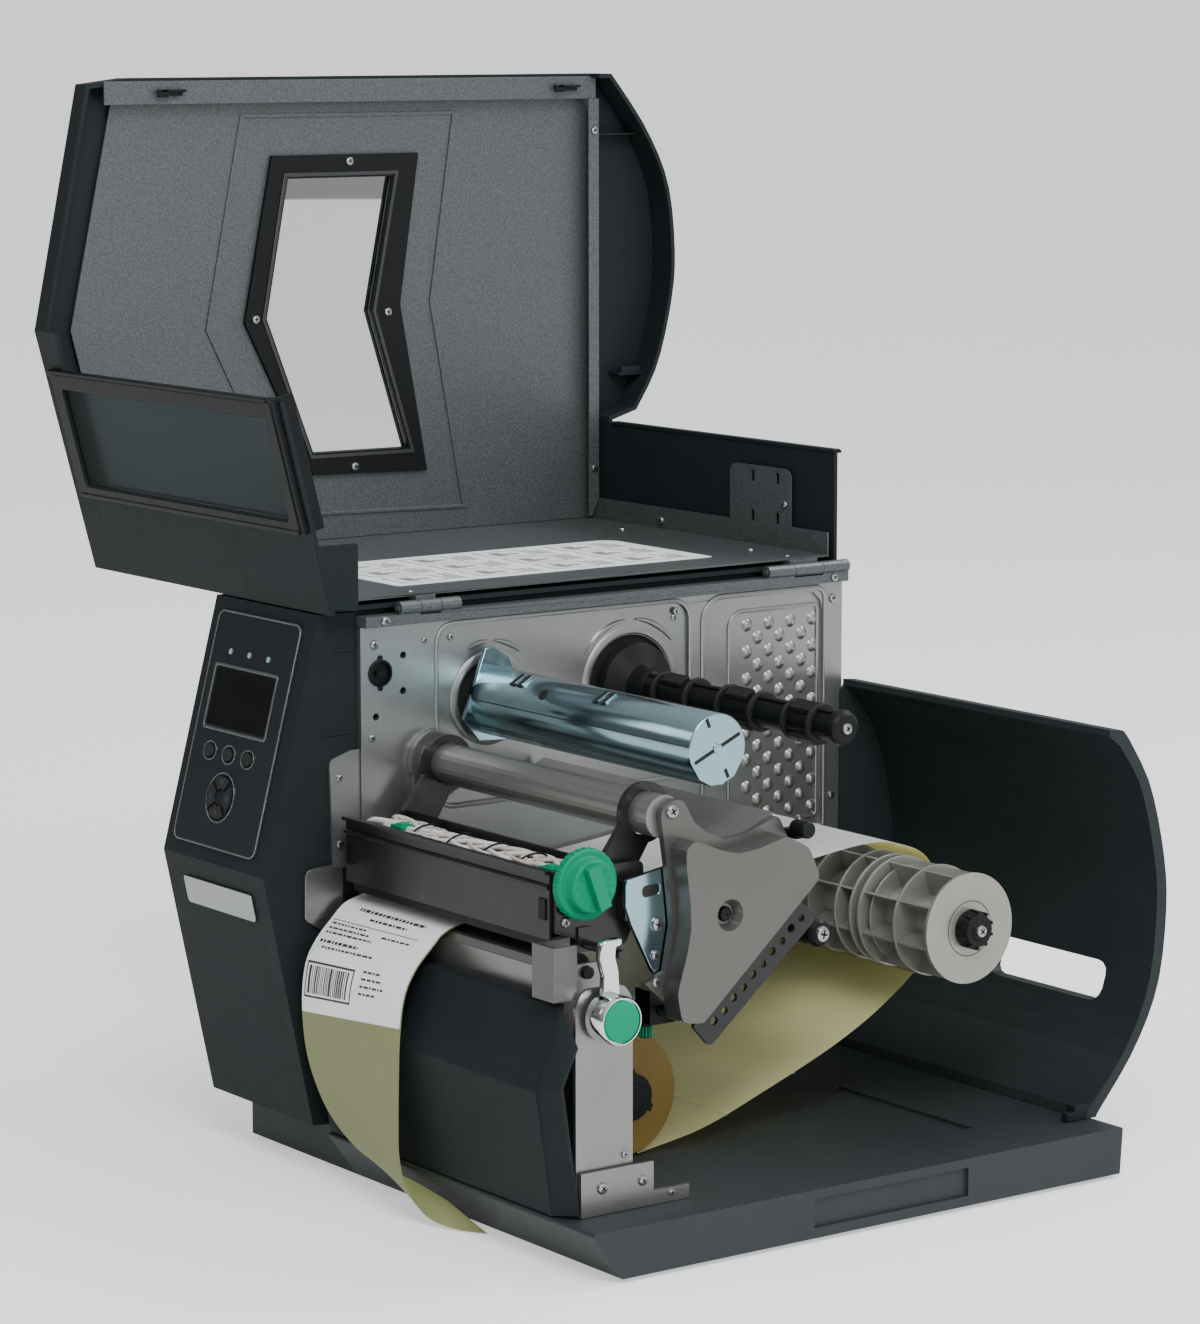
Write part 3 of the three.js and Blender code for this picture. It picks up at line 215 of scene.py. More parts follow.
ZINC = surface("zinc", (0.31, 0.47, 0.52), 0.17, 1.0, grain=2.2, blotch=0.12, stretch=(0.15, 1, 1))
CHROME = surface("chrome", (0.72, 0.76, 0.77), 0.07, 1.0, grain=3.0, depth=0.004, blotch=0.04)
GREEN = surface("green", (0.0, 0.235, 0.115), 0.46, grain=0.6, depth=0.015, blotch=0.08, gloss=0.12)
CAP_GREEN = surface("cap_green", (0.0, 0.27, 0.135), 0.6, grain=0.6, depth=0.015, blotch=0.06, gloss=0.05)
RUBBER = surface("rubber", (0.008, 0.008, 0.008), 0.6, grain=0.5, depth=0.04, gloss=0.3)
SILVER = surface("silver", (0.36, 0.38, 0.39), 0.25, 0.95, grain=0.8, depth=0.01, blotch=0.05)
KEY = surface("key_silver", (0.06, 0.064, 0.068), 0.28, 0.7, grain=0.8, depth=0.01, blotch=0.05)
PAPER = surface("paper", (0.88, 0.91, 0.92), 0.5, grain=0.35, depth=0.012, blotch=0.03, gloss=0.3)
# A darker copy of the web liner's colour: painted shade for liner that lies in shadow.
SHADED_LINER = surface("liner", (0.47, 0.51, 0.25), 0.36, grain=0.5, depth=0.01, blotch=0.06, gloss=0.35)
WEB_LINER = surface("web_liner", (0.96, 0.93, 0.50), 0.4, grain=0.5, depth=0.01, blotch=0.05, gloss=0.35)
INK = surface("ink", (0.03, 0.03, 0.034), 0.5, grain=0.3, depth=0.01)
PRINT = surface("print_grey", (0.27, 0.275, 0.28), 0.5, grain=0.3, depth=0.01)
BOARD = surface("board", (0.02, 0.16, 0.08), 0.4, grain=1.0, depth=0.03)
SCREEN = surface("screen", (0.006, 0.007, 0.007), 0.16, grain=1.0, depth=0.002, gloss=0.2)
PINK = surface("pale_wire", (0.55, 0.49, 0.46), 0.4, grain=0.8, depth=0.02)
WHITE = surface("white_wire", (0.62, 0.62, 0.60), 0.4, grain=0.8, depth=0.02)
AMBER = wound("amber_roll", (0.235, 0.145, 0.014), ROLL)
SMOKED = tinted("smoked", (0.30, 0.36, 0.36), 0.3)
CLEAR = tinted("clear", (0.97, 0.99, 0.99), 0.0)
LAMP = glowing("lamp", (0.32, 0.36, 0.36), 0.05)
# Near-black for painted shade in holes, slots and screw recesses.
HOLE_SHADE = surface("hole", (0.004, 0.004, 0.004), 0.8, grain=0.5, depth=0.01)


# ---- making pieces ------------------------------------------------------------------------
def new_object(name, data):
    obj = bpy.data.objects.new(name, data)
    bpy.context.scene.collection.objects.link(obj)
    return obj


def finish_object(obj, material, bevel, angle=34):
    mesh = obj.data
    if material:
        mesh.materials.clear()
        mesh.materials.append(material)
    mesh.shade_smooth()
    mesh.set_sharp_from_angle(angle=math.radians(angle))
    if bevel:
        modifier = obj.modifiers.new("edges", "BEVEL")
        modifier.width = bevel / 1000
        modifier.segments = 2
        modifier.limit_method = "ANGLE"
        modifier.angle_limit = math.radians(32)
        modifier.harden_normals = True
    return obj


def piece(name, made, material, body, slot, bevel=0.0, place=None, hides=(), extra=()):
    """Turns drawing-space geometry into a named object that rides on a CAD body."""
    if isinstance(made, bmesh.types.BMesh):
        mesh = bpy.data.meshes.new(name)
        bmesh.ops.recalc_face_normals(made, faces=made.faces)
        made.to_mesh(mesh)
        made.free()
    else:
        mesh = made
    mesh.transform(TO_ROW @ (place or Matrix.Identity(4)))
    mesh.name = name
    obj = new_object(name, mesh)
    kept = [polygon.material_index for polygon in mesh.polygons]
    finish_object(obj, material, bevel)
    for other in extra:
        mesh.materials.append(other)
    if extra:
        mesh.polygons.foreach_set("material_index", kept)
    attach(obj, body)
    if hides:
        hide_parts(*hides)
    return obj


def faces_between(bm, rows, wrap, material=0):
    for first, second in zip(rows, rows[1:]):
        count = len(first)
        for i in range(count if wrap else count - 1):
            j = (i + 1) % count
            corners = [first[i], first[j], second[j], second[i]]
            unique = list(dict.fromkeys(corners))
            if len(unique) > 2:
                bm.faces.new(unique).material_index = material


def angles(count):
    """The angles that divide a full turn into equal parts."""
    return [2 * math.pi * k / count for k in range(count)]


def turned(bm, profile, axis, sides=64):
    """A profile of (x, radius) turned about an axis along x."""
    y, z = axis
    rows = []
    for x, radius in profile:
        if radius == 0:
            rows.append([bm.verts.new((x, y, z))] * sides)
        else:
            ring = [(x, y + radius * math.cos(a), z + radius * math.sin(a)) for a in angles(sides)]
            rows.append([bm.verts.new(point) for point in ring])
    faces_between(bm, rows, True)


def box(bm, x0, x1, y0, y1, z0, z1, about=None, angle=0.0):
    """A box, turned by an angle about an axis along x."""
    corners = [Vector((x, y, z)) for x in (x0, x1) for y in (y0, y1) for z in (z0, z1)]
    if about:
        turn = Matrix.Rotation(angle, 4, "X")
        shift = Vector((0, *about))
        corners = [turn @ corner + shift for corner in corners]
    v = [bm.verts.new(corner) for corner in corners]
    for quad in ((0, 1, 3, 2), (4, 6, 7, 5), (0, 4, 5, 1), (2, 3, 7, 6), (0, 2, 6, 4), (1, 5, 7, 3)):
        bm.faces.new([v[i] for i in quad])


def rounded(points, steps=5):
    """A closed outline whose corners (a, b, radius) become arcs."""
    ring = []
    for index, point in enumerate(points):
        a, b, radius = (*point, 0)[:3]
        corner = Vector((a, b))
        if radius == 0:
            ring.append(corner)
            continue
        before = (Vector(points[index - 1][:2]) - corner).normalized()
        after = (Vector(points[(index + 1) % len(points)][:2]) - corner).normalized()
        half = before.angle(after) / 2
        centre = corner + (before + after).normalized() * radius / math.sin(half)
        start = corner + before * radius / math.tan(half) - centre
        end = corner + after * radius / math.tan(half) - centre
        turn = math.atan2(start.x * end.y - start.y * end.x, start.dot(end))
        for k in range(steps + 1):
            ring.append(Matrix.Rotation(turn * k / steps, 2) @ start + centre)
    return ring


def grown(points, distance):
    """The outline moved outwards by a distance."""
    result = []
    for index, point in enumerate(points):
        here = Vector(point)
        before = (here - Vector(points[index - 1])).normalized()
        after = (Vector(points[(index + 1) % len(points)]) - here).normalized()
        out = [Vector((d.y, -d.x)) for d in (before, after)]
        result.append(here + (out[0] + out[1]) * distance / (1 + out[0].dot(out[1])))
    return result


def oval(a, b, wide, high, count=28):
    return [Vector((a + wide * math.cos(t), b + high * math.sin(t))) for t in angles(count)]


def shifted(points, axis):
    """Outline points given from an axis, with any corner radii kept."""
    return [(axis[0] + a, axis[1] + b, *radius) for a, b, *radius in points]


def plate(outline, low, high, holes=(), edge=0.25, turn=SIDEWAYS):
    """A flat plate with rounded edges and holes: its outline in (u, v), between two levels of w."""
    curve = bpy.data.curves.new("outline", "CURVE")
    curve.dimensions = "2D"
    curve.fill_mode = "BOTH"
    curve.extrude = (high - low) / 2 - edge
    curve.bevel_depth = edge
    curve.bevel_resolution = 1
    curve.offset = -edge
    for ring in (outline, *holes):
        spline = curve.splines.new("POLY")
        spline.points.add(len(ring) - 1)
        for target, point in zip(spline.points, ring):
            target.co = (point[0], point[1], 0, 1)
        spline.use_cyclic_u = True
    holder = new_object("outline", curve)
    bpy.context.view_layer.update()
    mesh = bpy.data.meshes.new_from_object(holder.evaluated_get(bpy.context.evaluated_depsgraph_get()))
    bpy.data.objects.remove(holder)
    bpy.data.curves.remove(curve)
    mesh.transform(turn @ Matrix.Translation((0, 0, (low + high) / 2)))
    return mesh


def absorb(bm, mesh):
    bm.from_mesh(mesh)
    bpy.data.meshes.remove(mesh)


def joined(*meshes):
    bm = bmesh.new()
    for mesh in meshes:
        absorb(bm, mesh)
    bmesh.ops.remove_doubles(bm, verts=bm.verts, dist=1e-4)
    return bm


def along(points, count):
    """Points spaced evenly along a smooth curve through the given ones."""
    knots = [Vector(point) for point in points]
    knots = [2 * knots[0] - knots[1], *knots, 2 * knots[-1] - knots[-2]]
    fine = []
    for a, b, c, d in zip(knots, knots[1:], knots[2:], knots[3:]):
        for k in range(24):
            t = k / 24
            bend = (2 * a - 5 * b + 4 * c - d) * t * t
            fine.append(0.5 * (2 * b + (c - a) * t + bend + (3 * b - a - 3 * c + d) * t ** 3))
    fine.append(knots[-2])
    reach = [0.0]
    for p, q in zip(fine, fine[1:]):
        reach.append(reach[-1] + (q - p).length)
    result = []
    index = 0
    for k in range(count):
        goal = reach[-1] * k / (count - 1)
        while index < len(reach) - 2 and reach[index + 1] < goal:
            index += 1
        share = (goal - reach[index]) / max(reach[index + 1] - reach[index], 1e-9)
        result.append(fine[index].lerp(fine[index + 1], min(share, 1)))
    return result, reach[-1]


def tube(bm, points, radius, sides=10, count=40, material=0):
    path, _ = along(points, count)
    rows = []
    side = Vector((0, 0, 1))
    for i, centre in enumerate(path):
        heading = (path[min(i + 1, count - 1)] - path[max(i - 1, 0)]).normalized()
        side = (side - heading * side.dot(heading)).normalized()
        other = heading.cross(side)
        ring = [side * math.cos(a) + other * math.sin(a) for a in angles(sides)]
        rows.append([bm.verts.new(centre + radius * out) for out in ring])
    faces_between(bm, rows, True, material)
    for end in (rows[0], rows[-1]):
        bm.faces.new(end).material_index = material


SCREW_SIDES = 20


def screw(bm, where, axis, radius):
    """A pan-head screw with a dark cross of painted shade for its recess, its head standing out along the
    axis.
    """
    height = radius * 0.55
    aim = Vector(axis).to_track_quat("Z", "Y").to_matrix().to_4x4()
    place = Matrix.Translation(where) @ aim @ Matrix.Rotation(RANDOM.uniform(0, math.pi), 4, "Z")
    profile = [(radius, -0.4), (radius, height * 0.35), (radius * 0.86, height * 0.8), (radius * 0.6, height)]
    rows = []
    for r, h in profile:
        ring = [Vector((r * math.cos(a), r * math.sin(a), h)) for a in angles(SCREW_SIDES)]
        rows.append([bm.verts.new(place @ point) for point in ring])
    rows.append([bm.verts.new(place @ Vector((0, 0, height)))] * SCREW_SIDES)
    faces_between(bm, rows, True)
    # The cross is a raised dark mark: painted shade where the recess would be.
    arm, half = radius * 0.52, radius * 0.13
    for u, v in ((arm, half), (half, arm)):
        corners = [(-u, -v), (u, -v), (u, v), (-u, v)]
        low = [bm.verts.new(place @ Vector((a, b, height * 0.9))) for a, b in corners]
        high = [bm.verts.new(place @ Vector((a, b, height + 0.03))) for a, b in corners]
        bm.faces.new(high).material_index = 1
        faces_between(bm, [low, high], True, 1)


def screws(name, body, places, material=SILVER, place=None):
    """Screws at (x, y, z, radius), facing right unless another direction follows the radius."""
    bm = bmesh.new()
    for x, y, z, radius, *facing in places:
        screw(bm, (x, y, z), facing[0] if facing else RIGHT, radius)
    piece(name, bm, material, body, "chrome", place=place, extra=(HOLE_SHADE,))


# ---- CAD nodes that stay ------------------------------------------------------------------
def dress(material, bevel, *names):
    for name in names:
        obj = NODES[name]
        merge = obj.modifiers.new("flats", "DECIMATE")
        merge.decimate_type = "DISSOLVE"
        merge.angle_limit = math.radians(1.5)
        finish_object(obj, material, bevel)


# The base pan's lighter charcoal is painted light.
dress(BASE_CHARCOAL_PAINTED_LIGHT, 1.4, "base_pan")
dress(CHARCOAL, 1.2, "control_fascia", "electronics_cover", "front_fascia")
dress(CHARCOAL, 0.8, "cover_shell")
# The rear cover's lighter charcoal is painted light.
dress(REAR_CHARCOAL_PAINTED_LIGHT, 0.8, "rear_cover")
dress(HAMMERED, 0.3, "hinge_rail", "cover_liner")
dress(CAST, 0.5, "platen_frame")
dress(WALL, 0.5, "center_wall")
# The head channel's darkened grey is a painted dark reflection.
dress(CHANNEL_PAINTED_DARK, 0.5, "head_channel")
dress(CAST, 0.4, "crossbar_tube", "ribbon_deflector")
dress(CASTING, 1.6, "side_casting")
dress(SHEET, 0.3, "latch_post")
# The latch guard takes the darker casting grey as painted shade.
dress(CASTING, 0.4, "latch_guard")
dress(ZINC, 0.2, "base_plate", "sensor_rail", "port_panel", "power_supply", "spindle_bearing_plate",
      "motor_pulley")
dress(BLACK, 0.3, "print_head", "guide_rod", "power_inlet", "power_switch", "stepper_motor")
dress(BLACK, 0.4, "rewind_spindle")
dress(BLACK, 0.5, "window_frame", "media_sensor")
dress(PERFORATED, 0.2, "web_guide_plate")
dress(RUBBER, 0.3, "platen_roller", "drive_belt", *(f"rubber_foot_{k}" for k in range(1, 5)))
dress(BOARD, 0.1, "main_board", "display_board")
dress(SMOKED, 0.2, "visor_pane")
dress(CLEAR, 0.1, "window_pane")
dress(KEY, 0.3, *(f"soft_key_{k}" for k in range(1, 4)))
dress(KEY, 0.3, *(f"nav_key_{way}" for way in ("up", "down", "left", "right")))
dress(DARK_PANEL, 0.2, "display_bezel")


# ---- control panel ------------------------------------------------------------------------
def rectangle(left, right, low, high, radius=0.0):
    return [(left, low, radius), (right, low, radius), (right, high, radius), (left, high, radius)]


KEY_COLUMNS = (-87, -65.5, -44)
NAV = (-65, 39.5)
NAV_REACH = 9.4


def on_panel(name, made, material, slot, body="chassis", **more):
    return piece(name, made, material, body, slot, place=ON_FACE, **more)


border = plate(rounded(rectangle(-109.6, -15.8, 8.8, 150.7, 6)), 0.2, 2.0,
               [rounded(rectangle(-108.5, -16.9, 9.9, 149.6, 5))], 0.2, FACING_FRONT)
on_panel("panel_border", border, SILVER, "key_plastic")
surround = plate(rounded(rectangle(-101, -29, 78.2, 118.6, 2.5)), 1.6, 2.6,
                 [rounded(rectangle(-99.4, -30.6, 79.8, 117, 1.5))], 0.2, FACING_FRONT)
on_panel("screen_surround", surround, SILVER, "key_plastic")
glass = plate(rounded(rectangle(-99, -31, 80.2, 116.6, 1.2)), 1.3, 1.75, (), 0.1, FACING_FRONT)
on_panel("screen_glass", glass, SCREEN, "black_plastic")
lamps = bmesh.new()
for x in KEY_COLUMNS:
    rows = []
    for h, r in ((0, 1.9), (0.8, 1.8), (1.2, 1.1)):
        ring = [(x + r * math.cos(a), -1.6 - h, 126.5 + r * math.sin(a)) for a in angles(24)]
        rows.append([lamps.verts.new(point) for point in ring])
    faces_between(lamps, rows, True)
    lamps.faces.new(rows[-1])
on_panel("status_lamps", lamps, LAMP, "key_plastic")
captions = bmesh.new()
for x in KEY_COLUMNS:
    for left, width in ((x - 3.4, 2.2), (x, 3.2)):
        box(captions, left, left + width, -1.95, -1.7, 131.6, 133)
for x in (-87, -43):
    for left, width in ((x - 2.2, 1.8), (x + 0.4, 1.2)):
        box(captions, left, left + width, -1.95, -1.7, NAV[1] - 0.7, NAV[1] + 0.7)
on_panel("panel_captions", captions, KEY, "key_plastic")


def key_ring(name, centre, half_width, half_height):
    outer = oval(*centre, half_width, half_height, 36)
    inner = oval(*centre, half_width - 0.7, half_height - 0.7, 36)
    on_panel(name, plate(outer, 1.7, 2.5, [inner], 0.15, FACING_FRONT), SILVER, "key_plastic")


for number, x in enumerate(KEY_COLUMNS, 1):
    key_ring(f"soft_key_ring_{number}", (x, 65.6), 7.4, 5.9)
key_ring("nav_ring", NAV, 15.4, 15.4)

emblem = plate(rounded(rectangle(-98.5, -20.5, -30.2, -12.8, 2.5)), 0.25, 1.5, (), 0.3, FACING_FRONT)
piece("badge_plate", emblem, SILVER, "chassis", "key_plastic", place=ON_LOWER_FACE)


def key_mark(name, turn):
    """A small arrowhead on a navigation key."""
    x = NAV[0] + NAV_REACH * math.cos(turn)
    v = NAV[1] + NAV_REACH * math.sin(turn)
    shape = [(x + a * math.cos(turn) - b * math.sin(turn), v + a * math.sin(turn) + b * math.cos(turn))
             for a, b in ((2.3, 0), (-1.3, 2.0), (-1.3, -2.0))]
    mark = plate(shape, 3.1, 3.35, (), 0.05, FACING_FRONT)
    on_panel(f"arrow_{name}", mark, INK, "black_plastic", body=f"nav_key_{name}_body")


for name, turn in zip(("right", "up", "left", "down"), angles(4)):
    key_mark(name, turn)

# ---- centre wall --------------------------------------------------------------------------
dimples = bmesh.new()
DIMPLE = [(-2, 4.5), (-1.75, 4.2), (-1.1, 3.4), (-0.4, 2.3), (-0.05, 1.2), (0, 0)]
for column in range(7):
    for row in range(8):
        z = 306 - row * 17.4 - (8.7 if column % 2 else 0)
        turned(dimples, DIMPLE, (118 + column * 8.8, z), 22)
piece("wall_dimples", dimples, WALL, "chassis", "wall_metal")
beads = []
for outline, width, top in (
    ([(-118, 216, 11), (70, 216, 11), (70, 325, 11), (-118, 325, 11)], 3.0, 0.9),
    ([(83, 168, 14), (178, 168, 6), (178, 324.5, 6), (83, 324.5, 14)], 3.4, 1.1),
    ([(102, 176, 12), (176, 176, 5), (176, 316.5, 5), (102, 316.5, 12)], -2.6, -0.7),
):
    ring = rounded(outline, 8)
    wide = grown(ring, width)
    outer, inner = (wide, ring) if width > 0 else (ring, wide)
    beads.append(plate(outer, top - 2.0, top, [inner], 0.8))
piece("wall_beads", joined(*beads), WALL, "chassis", "wall_metal")

ARC_STEPS = 18
ARC_WIDTH = 2.0
ARC_LOW, ARC_TOP = -1.9, -0.7


def arc_bar(bm, axis, radius, start, end):
    """A raised arc about an axis, its angles in degrees from the rear, going up."""
    y, z = axis
    rows = []
    for k in range(ARC_STEPS + 1):
        t = math.radians(start + (end - start) * k / ARC_STEPS)
        thin = ARC_WIDTH * (0.35 + 0.65 * math.sin(math.pi * k / ARC_STEPS))
        section = [(ARC_LOW, radius - thin), (ARC_TOP, radius - thin * 0.4),
                   (ARC_TOP, radius + thin * 0.4), (ARC_LOW, radius + thin)]
        rows.append([bm.verts.new((x, y + r * math.cos(t), z + r * math.sin(t))) for x, r in section])
    faces_between(bm, rows, False)


arcs = bmesh.new()
for axis, radius, start, end in (
        (SUPPLY, 40.5, 96, 148), (SUPPLY, 40.5, 38, 84), (TAKE_UP, 35, 92, 116), (TAKE_UP, 35, 50, 84)):
    arc_bar(arcs, axis, radius, start, end)
piece("wall_arcs", arcs, WALL, "chassis", "wall_metal")
collars = bmesh.new()
shade = bmesh.new()
for axis, radius in ((TAKE_UP, 23), (SUPPLY, 31)):
    turned(collars, [(-4.9, radius + 0.2), (-1.7, radius + 0.2), (-0.9, radius + 1.2), (-0.9, radius + 4.6),
                     (-1.6, radius + 6)], axis, 72)
    deep = radius - 0.2
    turned(shade, [(-4.6, deep), (-4.6, 6.6), (-4.9, 6.6), (-4.9, deep), (-4.6, deep)], axis, 48)
piece("hub_hole_rims", collars, WALL, "chassis", "wall_metal")
# Black rings set down in the hub holes: painted shade in their depth.
piece("hub_hole_painted_shade", shade, HOLE_SHADE, "chassis", "black_plastic")
lock = bmesh.new()
GROMMET = (-159.8, 300.7)
turned(lock, [(-4.4, 8.3), (0.8, 8.3), (1.2, 7.7), (1.2, 6.8), (-1, 6.4), (-1, 0)], GROMMET, 40)
for z in (291.6, 309.8):
    turned(lock, [(-1, 0), (0.7, 0), (0.7, 1.7), (-1, 1.7)], (GROMMET[0], z), 16)
box(lock, -1, 1.4, -163, -156.6, 299.2, 302.2)
piece("cable_grommet", lock, BLACK, "chassis", "black_plastic")
tab_outline = [
    (-213, 157, 4), (-191, 142.5, 4), (-186, 144), (-186, 188.4), (-191, 188.6), (-212.5, 186.8, 5)]
piece("side_tab", plate(rounded(tab_outline), -3.6, -1.8, (), 0.4), SHEET, "chassis", "wall_metal")
grooves = bmesh.new()
for y0, z in ((-189, 316), (-198, 266.5), (-184, 231)):
    box(grooves, -4.2, -3.3, y0, -174, z - 0.9, z + 0.9)
piece("fascia_ribs", grooves, CHARCOAL, "chassis", "charcoal_plastic", 0.3)
screws("wall_screws", "chassis", [
    (0, -164, 318, 3.0), (0, -128, 318, 2.2), (0, 60, 320, 2.2), (-1.8, -108, 318, 2.4), (-1.8, 60, 316, 2.4),
    (-1.8, -108, 224, 2.4), (-1.8, 60, 224, 2.4), (0, 186, 318, 3.0), (0, 186, 190, 2.6), (0, -166, 262, 2.4),
    (-1.6, -188, 240, 2.4), (-1.6, -188, 200, 2.4), (4.6, -134, 232, 2.6), (6.5, -160, 332.4, 3.2),
    (6.5, 182, 332.4, 2.8),
])

# ---- cover --------------------------------------------------------------------------------
WINDOW_HOLE = [(-58, 95), (23, 95), (5, 183), (33.8, 275), (-40.7, 274.5), (-75.3, 185)]
WINDOW_OUTER = [(-69.8, 80), (43.4, 80), (28.1, 179), (48.7, 291), (-40.5, 289), (-91.7, 187)]
ridge = plate(grown(WINDOW_OUTER, 27), 270.4, 271.6, [grown(WINDOW_OUTER, 24.5)], 0.5)
piece("liner_emboss", ridge, HAMMERED, "cover", "hammered_steel", place=OPENED)
INFO_Z = 332.4
info_outline = [(46, -122, 3), (158, -122, 3), (158, 112, 10), (150, 119, 4), (46, 119, 3)]
info = plate(rounded(info_outline), INFO_Z - 0.35, INFO_Z - 0.05, (), 0.05, Matrix.Identity(4))
piece("instruction_sheet", info, PAPER, "cover", "white_label", place=OPENED)
# A plain frame with two blocks in it, as (left, right, near, far) from its corner.
FIGURE = (
    (0, 26, 0, 0.8), (0, 26, 33, 33.8), (0, 0.8, 0, 33), (25.2, 26, 0, 33), (6, 20, 8, 16), (9, 13, 16, 26))
MARKS_LOW, MARKS_HIGH = INFO_Z - 0.55, INFO_Z - 0.3
sheet_lines = bmesh.new()
for panel in range(4):
    y0 = -112 + panel * 57
    for step in range(3):
        x0 = 54 + step * 34
        for left, right, near, far in FIGURE:
            box(sheet_lines, x0 + left, x0 + right, y0 + near, y0 + far, MARKS_LOW, MARKS_HIGH)
        for line in range(3):
            y = y0 + 37 + line * 4
            box(sheet_lines, x0, x0 + RANDOM.uniform(14, 26), y, y + 1.4, MARKS_LOW, MARKS_HIGH)
piece("instruction_marks", sheet_lines, PRINT, "cover", "black_plastic", place=OPENED)
band = bmesh.new()
box(band, 262.7, 263.8, -196, 184, 31.2, 46)
box(band, 263.6, 271.4, -184, 184, 45, 46)
piece("liner_top_band", band, HAMMERED, "cover", "hammered_steel", 0.3, OPENED)
strip_outline = [(177.5, 46), (186, 46), (186, 318, 2), (180, 330), (177.5, 330)]
edge_strip = plate(rounded(strip_outline), 261.9, 263.1, (), 0.3)
piece("liner_rear_strip", edge_strip, HAMMERED, "cover", "hammered_steel", place=OPENED)
trim = plate(grown(WINDOW_HOLE, 3.6), 267.9, 268.8, [grown(WINDOW_HOLE, 1.2)], 0.3)
piece("window_trim", trim, KEY, "cover", "key_plastic", place=OPENED)
shell_ribs = bmesh.new()
box(shell_ribs, 264, 275, 187, 218, 69.6, 71)
box(shell_ribs, 262, 275, 203, 223, 233, 235)
box(shell_ribs, 262, 265, 205, 221, 229, 234)
box(shell_ribs, 262, 275, 187, 196, 262, 263.6)
piece("shell_ribs", shell_ribs, CHARCOAL, "cover", "charcoal_plastic", 0.4, OPENED)
skirt_lip = bmesh.new()
box(skirt_lip, 9.6, 250, 187.4, 193.4, 264.6, 267)
box(skirt_lip, 9.6, 24, 190, 194.4, 265.4, 267.2)
piece("skirt_lip", skirt_lip, CHARCOAL, "cover", "charcoal_plastic", 0.5, OPENED)
catches = bmesh.new()
for y in (-148, 159):
    box(catches, 257.6, 263, y - 10, y + 9, 36.6, 38.4)
    box(catches, 257.6, 259.4, y - 12, y - 4, 36.6, 41.4)
    box(catches, 259, 263, y - 8, y + 7, 38, 40.6)
piece("cover_catches", catches, BLACK, "cover", "black_plastic", 0.5, OPENED)
bar = bmesh.new()
box(bar, 264, 270.6, -58, 62, 33.8, 36.2)
piece("cover_stiffener", bar, CHARCOAL, "cover", "charcoal_plastic", 0.6, OPENED)
screws("cover_screws", "cover", [
    (262, 182, 67.5, 2.8, LEFT), (262, 182, 297.4, 2.8, LEFT), (268.5, -11, 84.5, 2.9, LEFT),
    (268.5, -84, 185, 2.9, LEFT), (268.5, 18, 184, 2.9, LEFT), (268.5, -9, 285, 2.9, LEFT),
    (56, 184.6, 304, 2.6, FRONT), (189, 184.6, 327, 2.8, FRONT), (60, -168, INFO_Z, 2.6, DOWN),
    (60, 160, INFO_Z, 2.6, DOWN), (200, 160, INFO_Z, 2.6, DOWN), (24, -127.5, 333, 2.2, DOWN),
    (24, 161.5, 333, 2.2, DOWN),
], place=OPENED)
lip = bmesh.new()
box(lip, 8, 268, -4.2, -0.2, 25, 28.4)
box(lip, 4.5, 263, -4.8, -3.2, 105.4, 108)
box(lip, 0, 4.4, -3.4, 11, 25, 108)
piece("visor_lips", lip, BLACK, "cover", "black_plastic", 0.5, OPENED @ ON_FACE)
cheek_outline = [(-201.5, 335, 2), (-211.5, 297), (-181, 297, 2), (-181, 337.5, 1)]
cheek = plate(rounded(cheek_outline), -2.4, -0.4, (), 0.4)
piece("cover_cheek", cheek, CHARCOAL, "cover", "charcoal_plastic", place=OPENED)
visor_rim = plate(rounded(rectangle(3.6, 264.4, 26.6, 108.4, 3)), 0.4, 4.2,
                  [rounded(rectangle(12.4, 253.6, 36.4, 100.6, 3))], 0.5, FACING_FRONT)
piece("visor_rim", visor_rim, BLACK, "cover", "black_plastic", place=OPENED @ ON_FACE)

# ---- ribbon spindles ----------------------------------------------------------------------
hub = bmesh.new()
sweep = [math.pi * (-0.12 + 1.24 * k / 36) for k in range(37)]
hub_arc = [(20 * math.cos(a), 20 * math.sin(a)) for a in sweep]
hub_outline = [*hub_arc, (-12.5, -17), (-4, -21.6), (4, -21.6), (12.5, -17)]
absorb(hub, plate(shifted(hub_outline, TAKE_UP), 4, 225, (), 0.8))
flange = [(-9, 32), (-3, 33), (8, 26), (26, -16), (21, -26), (-14, -24), (-25, -10)]
absorb(hub, plate(shifted(flange, TAKE_UP), 4.6, 7.6, (), 0.4))
turned(hub, [(-17.5, 0), (-17.5, 5.9), (4.2, 5.9), (4.2, 0)], TAKE_UP, 32)
piece("take_up_hub", hub, ZINC, "ribbon_take_up", "zinc_steel", hides=("ribbon_take_up_hub",))
# Black marks for the hub's slots and its round hole: painted shade in place of openings, with two thin dark
# seams along the hub.
slots = bmesh.new()
for angle, near, far in ((0.42, 2.5, 17.5), (0.42 + math.pi / 2, 13.5, 19.2)):
    for side in (-1, 1):
        low, high = sorted((side * near, side * far))
        box(slots, 224.6, 225.25, low, high, -1.1, 1.1, TAKE_UP, angle)
TAB_TURN = 0.5
for x in (40, 47, 124, 131):
    box(slots, x, x + 4, -5.5, 5.5, 18.6, 20.3, TAKE_UP, TAB_TURN)
for angle in (1.45, 2.35):
    box(slots, 8, 224, -0.35, 0.35, 19.4, 20.12, TAKE_UP, angle)
HOLE_TURN = 0.85
HOLE_LEVEL = 19.75
hole_y = TAKE_UP[0] - HOLE_LEVEL * math.sin(HOLE_TURN)
hole_z = TAKE_UP[1] + HOLE_LEVEL * math.cos(HOLE_TURN)
